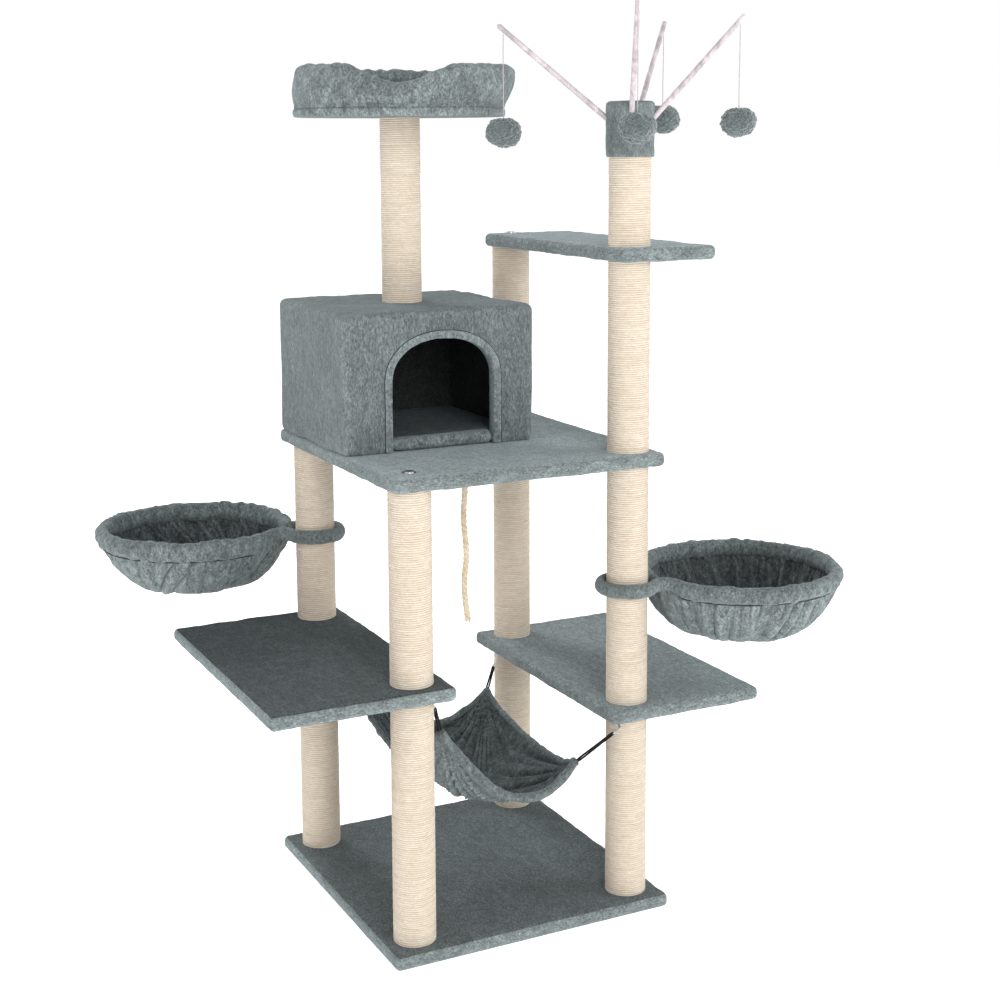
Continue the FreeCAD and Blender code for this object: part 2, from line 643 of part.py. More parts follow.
# Each stick: its bearing, the level where it leaves the block, its tip's reach and level, its string.
STICKS = {
    1: (152.75, 1484, 236, 1647, "left_string"),
    2: (-27.25, 1485, 202, 1663, "right_string"),
    3: (-117.8, 1494, 205, 1690, "front_string"),
    4: (40.1, 1490, 200, 1664, "back_string"),
}
block_axis = FreeCAD.Vector(value("column_x"), value("-column_y"), 0)
sticks = []
stick_ways = []
for number, (turn, leave_level, reach, tip_level, drop) in STICKS.items():
    leave = block_axis + bearing(turn, value("block_dia / 2"), leave_level)
    tip = block_axis + bearing(turn, reach, tip_level)
    slope = (tip - leave).normalize()
    root = leave - slope * value("stick_root")
    shaft = make("Part::Cone", f"stick_{number}_shaft")
    bind(shaft, "Radius1", "stick_dia / 2")
    bind(shaft, "Radius2", "stick_tip_dia / 2")
    shaft.Height = (tip - root).Length
    shaft.Placement = aimed(root, tip)
    end = make("Part::Sphere", f"stick_{number}_end")
    bind(end, "Radius", "stick_tip_dia / 2")
    end.Placement = FreeCAD.Placement(tip, FreeCAD.Rotation())
    sticks.append(fuse(f"stick_{number}", [shaft, end]))
    hang = tip - slope * value("string_inset") - FreeCAD.Vector(0, 0, value("string_gap"))
    string_tall = f"{drop} - string_gap"
    foot = hang - FreeCAD.Vector(0, 0, value(string_tall))
    string = make("Part::Cylinder", f"toy_string_{number}")
    bind(string, "Radius", "string_dia / 2")
    bind(string, "Height", string_tall)
    string.Placement = FreeCAD.Placement(foot, FreeCAD.Rotation())
    ball = make("Part::Ellipsoid", f"toy_ball_{number}")
    bind(ball, "Radius1", "ball_tall / 2")
    bind(ball, "Radius2", "ball_wide / 2")
    bind(ball, "Radius3", "ball_wide / 2")
    ball.Placement = FreeCAD.Placement(foot - FreeCAD.Vector(0, 0, value("ball_tall / 2")),
                                       FreeCAD.Rotation())
    stick_ways.append((number, hang))

stick_set = group("toy_sticks", sticks)
stud_hole = rod("block_stud_hole", "bolt_clear", "bolt_grip + 2", *FRONT_RIGHT, f"{STUB_TOP} - 1")
stick_holes = fuse("block_holes", sticks + [stud_hole])
cut("toy_block", core_blank, stick_holes)
cut("toy_block_cover", wrap_body, fuse("block_inside", [core_blank, stick_holes]))

# ---------------------------------------------------------------- climbing rope
ROPE_ROUTE = [
    (0, 0, -7), (0, 0, -66), (-5, 2, -128), (3, -1, -196), (-6, 3, -264), (3, -2, -330),
]


def rounded_route(points):
    """Straight runs joined by tangent arcs, each as large as its two runs allow."""
    edges = []
    radii = []
    last = points[0]
    for before, corner, after in zip(points, points[1:], points[2:]):
        arriving = (corner - before).normalize()
        leaving = (after - corner).normalize()
        half_turn = arriving.getAngle(leaving) / 2
        setback = 0.45 * min((corner - before).Length, (after - corner).Length)
        radius = setback / math.tan(half_turn)
        enter = corner - arriving * setback
        leave = corner + leaving * setback
        inward = (leaving - arriving).normalize()
        middle = corner + inward * (radius / math.cos(half_turn) - radius)
        edges.append(Part.LineSegment(last, enter).toShape())
        edges.append(Part.Arc(enter, middle, leave).toShape())
        radii.append(round(radius, 1))
        last = leave
    edges.append(Part.LineSegment(last, points[-1]).toShape())
    return Part.Wire(edges), radii


rod("rope_clamp", "clamp_dia", "clamp_thick", "0", "0", f"{DECK_LOW} - clamp_thick")
rope_top = FreeCAD.Vector(0, 0, value(DECK_LOW))
route = [rope_top + FreeCAD.Vector(*step) for step in ROPE_ROUTE]
rope_path, rope_radii = rounded_route(route)
rope_circle = Part.Circle(route[0], FreeCAD.Vector(0, 0, 1), value("rope_dia") / 2)
rope_section = Part.Wire([rope_circle.toShape()])
solid_feature("climbing_rope", rope_path.makePipeShell([rope_section], True, True))

# ---------------------------------------------------------------- check and write
PLATES = ["base", "left_shelf", "right_shelf", "deck", "upper_shelf"]
NODES = (
    [f"{name}_{layer}" for name in PLATES for layer in ("board", "cover")]
    + [name for name, _, _, _ in POSTS]
    + ["post_tubes", "post_plugs", "post_studs", "post_bolts", "bolt_washers"]
    + ["house_floor", "house_left_wall", "house_right_wall", "house_back_wall"]
    + ["house_front_wall", "house_roof", "house_cover", "door_binding"]
    + ["bed_board", "bed_bolster"]
    + [f"{side}_basket_{piece}" for side in ("left", "right") for piece in ("wire", "sleeve", "bowl")]
    + ["hammock_cloth", "hammock_elastics", "hammock_hooks", "hammock_screw_eyes"]
    + ["toy_block", "toy_block_cover", "toy_sticks"]
    + [f"toy_{piece}_{number}" for piece in ("string", "ball") for number in STICKS]
    + ["climbing_rope", "rope_clamp"]
)
doc.recompute()
for thing in doc.Objects:
    if "Invalid" in thing.State or "Error" in thing.State:
        raise RuntimeError(f"{thing.Label} did not compute: {thing.State}")
os.makedirs("parts", exist_ok=True)
for name in NODES:
    shape = doc.getObject(name).Shape
    if shape.isNull() or not shape.isValid() or not shape.Solids:
        raise RuntimeError(f"{name} has no valid solid")
    shape.exportStep(f"parts/{name}.step")
    box = shape.BoundBox
    print(name, len(shape.Solids), "solids, volume", round(shape.Volume / 1000, 1), "cm3,",
          [round(edge) for edge in (box.XMin, box.YMin, box.ZMin, box.XMax, box.YMax, box.ZMax)])
rope_area = math.pi * (value("rope_dia") / 2) ** 2
print("rope radii", rope_radii, "length", round(rope_path.Length, 1), "volume ratio",
      round(doc.getObject("climbing_rope").Shape.Volume / (rope_area * rope_path.Length), 4))
for number, hang in stick_ways:
    print("string", number, "hangs from", [round(part, 1) for part in hang])
print(len(NODES), "nodes")
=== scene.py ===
import json
import math

import bmesh
import bpy
import numpy as np
from mathutils import Matrix, Vector


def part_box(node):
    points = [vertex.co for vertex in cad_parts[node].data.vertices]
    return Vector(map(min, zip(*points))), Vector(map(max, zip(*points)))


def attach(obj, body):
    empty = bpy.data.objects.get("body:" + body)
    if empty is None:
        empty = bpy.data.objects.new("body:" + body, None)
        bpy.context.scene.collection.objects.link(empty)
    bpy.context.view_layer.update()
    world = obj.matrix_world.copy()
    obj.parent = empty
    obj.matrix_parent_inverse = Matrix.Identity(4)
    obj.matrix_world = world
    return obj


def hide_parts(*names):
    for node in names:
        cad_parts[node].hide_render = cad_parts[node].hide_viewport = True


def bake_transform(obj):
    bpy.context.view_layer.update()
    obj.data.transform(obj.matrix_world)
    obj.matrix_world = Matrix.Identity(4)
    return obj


# A cat tree in short grey-green plush and wound sisal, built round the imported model.
# Everything is in metres: +X right, +Y to the back, +Z up, origin on the floor under the base.

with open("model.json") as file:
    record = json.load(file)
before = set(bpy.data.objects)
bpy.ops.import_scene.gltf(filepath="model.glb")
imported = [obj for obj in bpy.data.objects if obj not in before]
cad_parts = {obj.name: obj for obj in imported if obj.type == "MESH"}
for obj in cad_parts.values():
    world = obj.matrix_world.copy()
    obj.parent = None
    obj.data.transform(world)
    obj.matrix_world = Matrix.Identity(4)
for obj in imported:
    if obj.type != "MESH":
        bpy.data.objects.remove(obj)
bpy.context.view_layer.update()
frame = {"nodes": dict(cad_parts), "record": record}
NODES = frame["nodes"]
TOWER = "tower"

# ---------------------------------------------------------------- camera
CAMERA_PLACE = (-1.3482, -2.8161, 1.4530)
CAMERA_TURN = math.radians(-26.816)
CAMERA_TILT = math.radians(-8.367)
CAMERA_ROLL = math.radians(-0.258)
camera_data = bpy.data.cameras.new("camera")
camera_data.sensor_width = 36.0
camera_data.lens = 59.84
camera_data.shift_y = -0.12
camera = bpy.data.objects.new("camera", camera_data)
camera.matrix_world = (
    Matrix.Translation(CAMERA_PLACE) @ Matrix.Rotation(CAMERA_TURN, 4, "Z")
    @ Matrix.Rotation(math.pi / 2 + CAMERA_TILT, 4, "X") @ Matrix.Rotation(CAMERA_ROLL, 4, "Z"))
bpy.context.collection.objects.link(camera)
bpy.context.scene.camera = camera


# ---------------------------------------------------------------- numbers and noise
def wobble(places, size, seed=0):
    """Smooth noise from -1 to 1 at places, with bumps about size metres across."""
    cells = np.asarray(places, float) / size + seed * 17.31
    low = np.floor(cells).astype(np.int64)
    part = cells - low
    part = part * part * (3 - 2 * part)
    total = np.zeros(cells.shape[:-1])
    for corner in np.ndindex(2, 2, 2):
        key = low + np.array(corner)
        mixed = key[..., 0] * 73856093 ^ key[..., 1] * 19349663 ^ key[..., 2] * 83492791
        mixed = (mixed ^ (mixed >> 13)) * 1274126177
        height = ((mixed >> 8) & 0xFFFF) / 32767.5 - 1
        share = np.where(np.array(corner) == 1, part, 1 - part)
        total += height * share.prod(-1)
    return total


def ramp(values, start, end):
    """Smooth step from 0 at start to 1 at end."""
    share = np.clip((np.asarray(values, float) - start) / (end - start), 0, 1)
    return share * share * (3 - 2 * share)


def bearing(degrees, radius=1.0, level=0.0):
    """A point round the Z axis, from a bearing in degrees off +X."""
    angle = math.radians(degrees)
    return np.array([radius * math.cos(angle), radius * math.sin(angle), level])


def extent(node):
    """A CAD node's lowest and highest corners at rest."""
    return [np.array(corner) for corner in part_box(node)]


def mid(node):
    """The middle of a CAD node's box."""
    return sum(extent(node)) / 2


def unit(vectors):
    """Vectors scaled to a length of 1."""
    return vectors / np.linalg.norm(vectors, axis=-1, keepdims=True)


def ways_along(points, up, closed=False):
    """The heading, the side and the top of a line at each of its points."""
    if closed:
        heading = unit(np.roll(points, -1, 0) - np.roll(points, 1, 0))
    else:
        heading = unit(np.gradient(points, axis=0))
    side = unit(np.cross(heading, np.array(up, float)))
    return heading, side, np.cross(side, heading)


# ---------------------------------------------------------------- mesh making
def lattice(rows, columns, closed=(False, False), start=0):
    """Quads over a grid of points stored row by row; a closed direction joins up with itself."""
    row = np.arange(rows if closed[0] else rows - 1)
    column = np.arange(columns if closed[1] else columns - 1)
    row, column = np.meshgrid(row, column, indexing="ij")
    below, beside = (row + 1) % rows, (column + 1) % columns
    corners = [row * columns + column, row * columns + beside,
               below * columns + beside, below * columns + column]
    return np.stack(corners, -1).reshape(-1, 4) + start


def fan(ring, centre):
    """Triangles from a closed ring of point numbers to one centre point."""
    return [(a, b, centre) for a, b in zip(ring, np.roll(ring, -1))]


def ring_faces(rows, turns, ends=2):
    """Faces over rings of points, closed by a centre point at the first ring and at the last."""
    faces = [tuple(face) for face in lattice(rows, turns, (False, True))]
    faces += fan(np.arange(turns)[::-1], rows * turns)
    if ends == 2:
        faces += fan(np.arange(turns) + (rows - 1) * turns, rows * turns + 1)
    return faces


def add_object(name, data):
    """A new object in the scene that holds a mesh, a curve or a light."""
    item = bpy.data.objects.new(name, data)
    bpy.context.collection.objects.link(item)
    return item


def object_from(maker, name):
    """A new object from a finished bmesh."""
    mesh = bpy.data.meshes.new(name)
    maker.to_mesh(mesh)
    maker.free()
    return add_object(name, mesh)


def new_piece(name, points, faces, material, body=TOWER, slot=None, stands_for=(), uv=None):
    """A smooth mesh piece that rides on a body."""
    mesh = bpy.data.meshes.new(name)
    mesh.from_pydata(np.reshape(points, (-1, 3)).tolist(), [], [tuple(map(int, f)) for f in faces])
    mesh.shade_smooth()
    if uv is not None:
        layer = mesh.uv_layers.new(name="strand")
        layer.data.foreach_set("uv", np.asarray(uv, np.float32).ravel())
    return finish_piece(add_object(name, mesh), material, body, stands_for)


def finish_piece(item, material, body=TOWER, stands_for=()):
    """Give a piece its material and body, and hide the CAD nodes it stands for."""
    if material is not None:
        item.data.materials.clear()
        item.data.materials.append(material)
    if body:
        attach(item, body)
    if stands_for:
        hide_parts(*stands_for)
    return item


def places_of(item):
    """The places of a piece's points."""
    count = len(item.data.vertices)
    places = np.empty(count * 3)
    item.data.vertices.foreach_get("co", places)
    return places.reshape(-1, 3)


def normals_of(item):
    """The normals at a piece's points."""
    count = len(item.data.vertices)
    normals = np.empty(count * 3)
    item.data.vertex_normals.foreach_get("vector", normals)
    return normals.reshape(-1, 3)


def set_places(item, places):
    """Move a piece's points."""
    item.data.vertices.foreach_set("co", np.asarray(places, np.float32).ravel())
    item.data.update()


def relief(item, *layers, share=1.0):
    """Push a surface along its normals by layers of noise: (height, bump size, seed)."""
    places = places_of(item)
    push = sum(height * wobble(places, size, seed) for height, size, seed in layers)
    set_places(item, places + normals_of(item) * (push * share)[:, None])


def face_vectors(item, fact):
    """The "center" or the "normal" of each face of a piece."""
    vectors = np.empty(len(item.data.polygons) * 3)
    item.data.polygons.foreach_get(fact, vectors)
    return vectors.reshape(-1, 3)


def second_material(item, material, chosen):
    """Give the chosen faces of a piece another material."""
    item.data.materials.append(material)
    item.data.polygons.foreach_set("material_index", chosen.astype(np.int32))


def line_inside(item, material, target):
    """Another material on the faces that look towards a point inside a hollow piece."""
    way = np.array(target) - face_vectors(item, "center")
    second_material(item, material, (way * face_vectors(item, "normal")).sum(1) > 0)


def apply_modifiers(item):
    """Swap a piece's mesh for what its modifiers make of it."""
    bpy.context.view_layer.update()
    graph = bpy.context.evaluated_depsgraph_get()
    made = bpy.data.meshes.new_from_object(item.evaluated_get(graph))
    item.modifiers.clear()
    item.data = made
    item.data.shade_smooth()


def thicken(item, thick):
    """Give a sheet its thickness, half of it to each side."""
    solid = item.modifiers.new("cloth", "SOLIDIFY")
    solid.thickness = thick
    solid.offset = 0
    apply_modifiers(item)


def grid_marks(low, high, radius, gap):
    """Grid lines from low to high: close together over each rounded end, then about gap apart."""
    bend = radius * (1 - np.tan(np.linspace(math.pi / 4, 0, 6)))
    count = max(2, int(round((high - low - 2 * radius) / gap)) + 1)
    middle = np.linspace(low + radius, high - radius, count)
    return np.concatenate([low + bend[:-1], middle, high - bend[-2::-1]])


def rounded_block(low, high, radius, gap):
    """Points and quads of a box with all its edges rounded."""
    low, high = np.array(low, float), np.array(high, float)
    lines = [grid_marks(low[axis], high[axis], radius, gap) for axis in range(3)]
    keys, quads = [], []
    for axis in range(3):
        across, along = (axis + 1) % 3, (axis + 2) % 3
        rows, columns = len(lines[across]), len(lines[along])
        for side in (0, len(lines[axis]) - 1):
            grid = np.full((rows, columns, 3), side)
            grid[..., across], grid[..., along] = np.meshgrid(
                np.arange(rows), np.arange(columns), indexing="ij")
            faces = lattice(rows, columns, start=sum(len(part) for part in keys))
            quads.append(faces if side == 0 else faces[:, ::-1])
            keys.append(grid.reshape(-1, 3))
    shared, number = np.unique(np.concatenate(keys), axis=0, return_inverse=True)
    faces = number.reshape(-1)[np.concatenate(quads)]
    places = np.stack([lines[axis][shared[:, axis]] for axis in range(3)], 1)
    core = np.clip(places, low + radius, high - radius)
    out = places - core
    return core + unit(out) * radius, faces


TUBE_TIP = 0.6  # how far a tube's end bulges, as a share of its radius


def finer(grid, closed=(False, False)):
    """A grid of points with smooth extra points halfway between its rows and its columns."""
    for axis in (0, 1):
        grid = np.swapaxes(grid, 0, axis)
        if closed[axis]:
            around = [np.roll(grid, shift, 0) for shift in (1, 0, -1, -2)]
        else:
            before, after = 2 * grid[:1] - grid[1:2], 2 * grid[-1:] - grid[-2:-1]
            wide = np.concatenate([before, grid, after])
            around = [wide[:-3], wide[1:-2], wide[2:-1], wide[3:]]
        between = (9 * (around[1] + around[2]) - around[0] - around[3]) / 16
        both = np.empty((len(grid) + len(between), *grid.shape[1:]))
        both[0::2], both[1::2] = grid, between
        grid = np.swapaxes(both, 0, axis)
    return grid


def tube(points, radius, sides=10, closed=False, up=(0, 0, 1)):
    """Points and faces of a tube along a line of points; its radius may vary along it."""
    points = np.asarray(points, float)
    count = len(points)
    heading, side, top = ways_along(points, up, closed)
    radius = np.broadcast_to(radius, count).astype(float)
    angle = np.linspace(0, 2 * math.pi, sides, endpoint=False)
    ring = (side[:, None] * np.cos(angle)[None, :, None]
            + top[:, None] * np.sin(angle)[None, :, None])
    places = (points[:, None] + ring * radius[:, None, None]).reshape(-1, 3)
    if closed:
        return places, lattice(count, sides, (True, True))
    tips = [points[end] + heading[end] * way * radius[end] * TUBE_TIP for end, way in ((0, -1), (-1, 1))]
    return np.vstack([places, tips]), ring_faces(count, sides)


def merge(*parts):
    """One set of points and faces from several."""
    points, faces = [], []
    for part_points, part_faces in parts:
        start = sum(len(group) for group in points)
        points.append(np.reshape(part_points, (-1, 3)))
        faces += [tuple(int(i) + start for i in face) for face in part_faces]
    return np.vstack(points), faces


def circle(angle):
    """Points of a circle of radius 1 round the Z axis."""
    return np.stack([np.cos(angle), np.sin(angle), np.zeros_like(angle)], -1)


def gathers(angle, count, seed, sharp=0.6, warp=0.9):
    """Uneven soft folds round a gathered edge: rounded crests from -1 to 1 between narrow creases."""
    ring = circle(angle)
    turn = angle / (2 * math.pi) * count + warp * wobble(ring, 0.4, seed)
    height = 0.6 + 0.4 * wobble(ring, 0.22, seed + 1)
    return (2 * np.abs(np.sin(math.pi * turn)) ** sharp - 1) * height


DRAPE_FRAMES = 16
CLOTH_STIFFNESS = 15.0
CLOTH_BENDING = 0.5
CLOTH_MASS = 0.15


def drape(item, pinned, grow, cap, gravity=1.0):
    """Let cloth settle from its modelled shape, no point by more than cap, while the pinned points hold."""
    rest = places_of(item)
    group = item.vertex_groups.new(name="pin")
    group.add(np.nonzero(pinned)[0].tolist(), 1.0, "REPLACE")
    step = item.modifiers.new("drape", "CLOTH")
    cloth = step.settings
    cloth.quality = 5
    cloth.mass = CLOTH_MASS
    cloth.tension_stiffness = CLOTH_STIFFNESS
    cloth.compression_stiffness = CLOTH_STIFFNESS
    cloth.shear_stiffness = CLOTH_STIFFNESS / 3
    cloth.bending_stiffness = CLOTH_BENDING
    cloth.vertex_group_mass = "pin"
    cloth.shrink_min = -grow
    cloth.effector_weights.gravity = gravity
    step.collision_settings.use_collision = False
    step.point_cache.frame_end = DRAPE_FRAMES
    for number in range(1, DRAPE_FRAMES + 1):
        bpy.context.scene.frame_set(number)
    settled = item.evaluated_get(bpy.context.evaluated_depsgraph_get()).data
    places = np.empty(len(rest) * 3)
    settled.vertices.foreach_get("co", places)
    moved = places.reshape(-1, 3) - rest
    far = np.linalg.norm(moved, axis=1)[:, None]
    item.modifiers.clear()
    item.vertex_groups.clear()
    bpy.context.scene.frame_set(1)
    set_places(item, rest + moved * np.minimum(1, cap / np.maximum(far, 1e-9)))


# ---------------------------------------------------------------- material making
class Nodes:
    """A material's node tree, with one call per node."""

    def __init__(self, name):
        self.material = bpy.data.materials.new(name)
        self.material.use_nodes = True
        self.tree = self.material.node_tree
        self.shader = self.tree.nodes["Principled BSDF"]

    def add(self, kind, settings=None, **inputs):
        node = self.tree.nodes.new("ShaderNode" + kind)
        for name, setting in (settings or {}).items():
            setattr(node, name, setting)
        for name, source in inputs.items():
            self.put(node, name.replace("_", " "), source)
        return node

    def put(self, node, name, source):
        socket = node.inputs[int(name)] if name.isdigit() else node.inputs[name]
        if isinstance(source, bpy.types.NodeSocket):
            self.tree.links.new(source, socket)
        elif isinstance(source, bpy.types.Node):
            self.tree.links.new(source.outputs[0], socket)
        else:
            socket.default_value = source

    def math(self, operation, first, second=0.0):
        node = self.add("Math", {"operation": operation})
        self.put(node, "0", first)
        self.put(node, "1", second)
        return node.outputs[0]

    def noise(self, place, scale, detail=3.0, roughness=0.55, stretch=None, distortion=0.0):
        if stretch:
            place = self.add("Mapping", Vector=place, Scale=stretch).outputs[0]
        node = self.add("TexNoise", Vector=place, Scale=scale, Detail=detail,
                        Roughness=roughness, Distortion=distortion)
        return node.outputs["Fac"]

    def ramp(self, source, *stops):
        """A colour ramp through (position, colour) stops."""
        node = self.add("ValToRGB", Fac=source)
        elements = node.color_ramp.elements
        while len(elements) < len(stops):
            elements.new(0.5)
        for element, (position, colour) in zip(elements, stops):
            element.position = position
            element.color = (*colour, 1.0)
        return node.outputs["Color"]

    def mix(self, share, first, second, way="MIX"):
        node = self.add("Mix", {"data_type": "RGBA", "blend_type": way})
        self.put(node, "0", share)
        for index, colour in ((6, first), (7, second)):
            if isinstance(colour, tuple):
                colour = (*colour, 1.0)[:4]
            self.put(node, str(index), colour)
        return node.outputs[2]

    def bump(self, height, distance, strength=1.0, below=None):
        inputs = {"Height": height, "Distance": distance, "Strength": strength}
        if below is not None:
            inputs["Normal"] = below
        return self.add("Bump", **inputs).outputs[0]

    def finish(self, colour=None, normal=None, roughness=0.6, **sockets):
        self.put(self.shader, "Base Color", colour if not isinstance(colour, tuple) else (*colour, 1.0))
        self.put(self.shader, "Roughness", roughness)
        if normal is not None:
            self.put(self.shader, "Normal", normal)
        for name, setting in sockets.items():
            self.put(self.shader, name.replace("_", " "), setting)
        return self.material


def tint(colour, factor):
    """A colour made lighter or darker."""
    return tuple(min(1.0, part * factor) for part in colour)


def plush(name, colour, stretch=(1.0, 1.0, 1.0), streak=0.34, crush=1.0, sheen=0.22):
    """Short brushed pile: grain, tufts, streaks where it leans, soft patches, painted shade in creases and
    painted highlight on ridges.
    """
    make = Nodes(name)
    place = make.add("TexCoord").outputs["Object"]
    fine = make.noise(place, 1100.0, 2.0, 0.6)
    pile = make.noise(place, 310.0, 4.0, 0.7, stretch, 0.5)
    tuft = make.noise(place, 165.0, 4.0, 0.7, stretch, 1.2)
    brushed = make.noise(place, 48.0, 5.0, 0.68, stretch, 1.4)
    broad = make.noise(place, 11.0, 3.0, 0.55, None, 0.6)
    # Painted shade and light: darker in creases and lighter on ridges, from the mesh's pointiness.
    painted_crease_light = make.add("NewGeometry").outputs["Pointiness"]
    shade = make.ramp(brushed, (0.34, tint(colour, 1 - streak)), (0.50, colour),
                      (0.66, tint(colour, 1 + 1.15 * streak)))
    layers = (
        (tuft, (0.34, (1 - 0.8 * streak,) * 3), (0.50, (1.0,) * 3), (0.66, (1 + 0.9 * streak,) * 3)),
        (pile, (0.34, (0.50,) * 3), (0.50, (1.0,) * 3), (0.66, (1.56,) * 3)),
        (broad, (0.33, (1 - 0.45 * streak,) * 3), (0.67, (1 + 0.4 * streak,) * 3)),
        (painted_crease_light, (0.43, (0.50,) * 3), (0.50, (1.0,) * 3), (0.57, (1.45,) * 3)),
    )
    for source, *stops in layers:
        shade = make.mix(0.95, shade, make.ramp(source, *stops), "MULTIPLY")
    normal = make.bump(brushed, 0.0030 * crush, 0.8)
    normal = make.bump(tuft, 0.0016 * crush, 0.8, normal)
    normal = make.bump(pile, 0.0009, 0.9, normal)
    normal = make.bump(fine, 0.0004, 0.8, normal)
    return make.finish(shade, normal, 0.95, Sheen_Weight=sheen, Sheen_Roughness=0.5,
                       Sheen_Tint=(0.80, 0.93, 1.0, 1.0), Specular_IOR_Level=0.1)


def sisal_winding(name):
    """Twisted natural fibre laid turn on turn, with painted shade in the grooves between turns; the strand
    map runs along it, and across it from 0 to 1.
    """
    make = Nodes(name)
    strand = make.add("TexCoord").outputs["UV"]
    split = make.add("SeparateXYZ", Vector=strand)
    across = make.math("FRACT", split.outputs["Y"])
    edge = make.math("ABSOLUTE", make.math("SUBTRACT", across, 0.5))
    # Where each turn's groove lies, for its painted shade.
    groove_shade = make.ramp(edge, (0.24, (0.0,) * 3), (0.46, (1.0,) * 3))
    whole = make.add("Mapping", Vector=strand, Scale=(1.0, 0.0, 0.0)).outputs[0]
    along = make.noise(whole, 5.0, 4.0, 0.6)
    dusty = make.noise(whole, 60.0, 3.0, 0.6)
    leaning = make.add("Mapping", Vector=strand, Scale=(1.0, 0.004, 1.0),
                       Rotation=(0.0, 0.0, math.radians(32))).outputs[0]
    fibre = make.noise(leaning, 700.0, 3.0, 0.65, (0.22, 1.0, 1.0))
    groove_shade_noise = make.noise(whole, 17.0, 3.0, 0.7)
    tone = make.ramp(along, (0.25, (0.66, 0.575, 0.47)), (0.5, (0.765, 0.695, 0.615)),
                     (0.75, (0.81, 0.76, 0.69)))
    tone = make.mix(0.55, tone, make.ramp(dusty, (0.25, (0.78, 0.72, 0.60)), (0.6, (1.0,) * 3)),
                    "MULTIPLY")
    tone = make.mix(0.6, tone, make.ramp(fibre, (0.25, (0.72, 0.62, 0.46)), (0.6, (1.0,) * 3)),
                    "MULTIPLY")
    # Painted shade: the grooves between turns are darkened towards brown, more in some places than in
    # others.
    gap = make.ramp(groove_shade_noise, (0.36, (0.20,) * 3), (0.50, (0.55,) * 3), (0.64, (1.0,) * 3))
    full = make.mix(make.math("MULTIPLY", groove_shade, gap), tone, (0.40, 0.29, 0.17))
    normal = make.bump(fibre, 0.0007, 0.8)
    return make.finish(full, normal, 0.86, Sheen_Weight=0.15, Sheen_Roughness=0.5,
                       Specular_IOR_Level=0.2)


def fibre_rope(name):
    """Loose hard-laid rope fibre."""
    make = Nodes(name)
    place = make.add("TexCoord").outputs["UV"]
    fibre = make.noise(place, 900.0, 3.0, 0.6, (0.25, 1.0, 1.0))
    along = make.noise(place, 40.0, 3.0)
    tone = make.ramp(along, (0.3, (0.72, 0.60, 0.42)), (0.7, (0.88, 0.80, 0.64)))
    tone = make.mix(0.7, tone, make.ramp(fibre, (0.3, (0.6, 0.5, 0.36)), (0.6, (1.0,) * 3)), "MULTIPLY")
    return make.finish(tone, make.bump(fibre, 0.0008, 0.9), 0.85, Sheen_Weight=0.2,
                       Specular_IOR_Level=0.2)


def pompom_plush(name, colour):
    """Curly pile of a fluffy ball."""
    make = Nodes(name)
    place = make.add("TexCoord").outputs["Object"]
    curl = make.noise(place, 260.0, 3.0, 0.6, None, 1.6)
    fine = make.noise(place, 900.0, 2.0, 0.6)
    shade = make.ramp(curl, (0.32, tint(colour, 0.42)), (0.5, colour), (0.68, tint(colour, 1.65)))
    normal = make.bump(curl, 0.002, 0.9)
    normal = make.bump(fine, 0.0005, 0.7, normal)
    return make.finish(shade, normal, 0.95, Sheen_Weight=0.9, Sheen_Roughness=0.4,
                       Sheen_Tint=(0.85, 0.93, 0.95, 1.0), Specular_IOR_Level=0.1)


def speckled(name, dark, light, scale, roughness):
    """A rough sheet material of chips or pulp."""
    make = Nodes(name)
    place = make.add("TexCoord").outputs["Object"]
    chips = make.noise(place, scale, 5.0, 0.7, None, 0.6)
    colour = make.ramp(chips, (0.35, dark), (0.65, light))
    return make.finish(colour, make.bump(chips, 0.0003), roughness)


def steel(name):
    """Zinc-plated steel with fine scratches."""
    make = Nodes(name)
    place = make.add("TexCoord").outputs["Object"]
    marks = make.noise(place, 900.0, 2.0, 0.6, (1.0, 1.0, 0.15))
    colour = make.ramp(marks, (0.3, (0.52, 0.53, 0.55)), (0.7, (0.74, 0.75, 0.76)))
    rough = make.math("MULTIPLY_ADD", marks, 0.2)
    rough.node.inputs[2].default_value = 0.22
    return make.finish(colour, make.bump(marks, 0.00005), rough, Metallic=1.0)


def braided(name, colour, scale, height, roughness=0.6):
    """A fine braid of thread, for elastic and string."""
    make = Nodes(name)
    place = make.add("TexCoord").outputs["Object"]
    weave = make.noise(place, scale, 2.0, 0.5, (1.0, 1.0, 0.5), 0.8)
    shade = make.ramp(weave, (0.35, tint(colour, 0.7)), (0.65, tint(colour, 1.15)))
    return make.finish(shade, make.bump(weave, height), roughness, Specular_IOR_Level=0.3)


PLUSH_GREY = (0.152, 0.176, 0.177)
# Painted light: a lighter copy of the grey for the plates' sides, which face the front light.
LIT_EDGE_PLUSH = plush("plush_edge_painted_light", tint(PLUSH_GREY, 1.15), (0.7, 0.7, 1.3), streak=0.26, sheen=0.3)
# Painted shade: a darker copy of the grey for the insides of the baskets and the top of the hammock.
SHADED_PLUSH = plush("plush_painted_shade", tint(PLUSH_GREY, 0.50), (0.9, 0.9, 0.5), streak=0.40, sheen=0.15)
# Painted shade: a much darker copy of the grey for the mat inside the house.
SHADED_MAT_PLUSH = plush("plush_mat_painted_shade", tint(PLUSH_GREY, 0.36), streak=0.3, sheen=0.1)
WALL_PLUSH = plush("plush_wall", tint(PLUSH_GREY, 0.98), (1.3, 1.3, 0.5), streak=0.20, sheen=0.2)
SOFT_PLUSH = plush("plush_soft", tint(PLUSH_GREY, 1.06), (0.9, 0.9, 0.6), streak=0.31)
TRIM_PLUSH = plush("plush_trim", tint(PLUSH_GREY, 1.12), (0.9, 0.9, 0.6), streak=0.20, sheen=0.3)
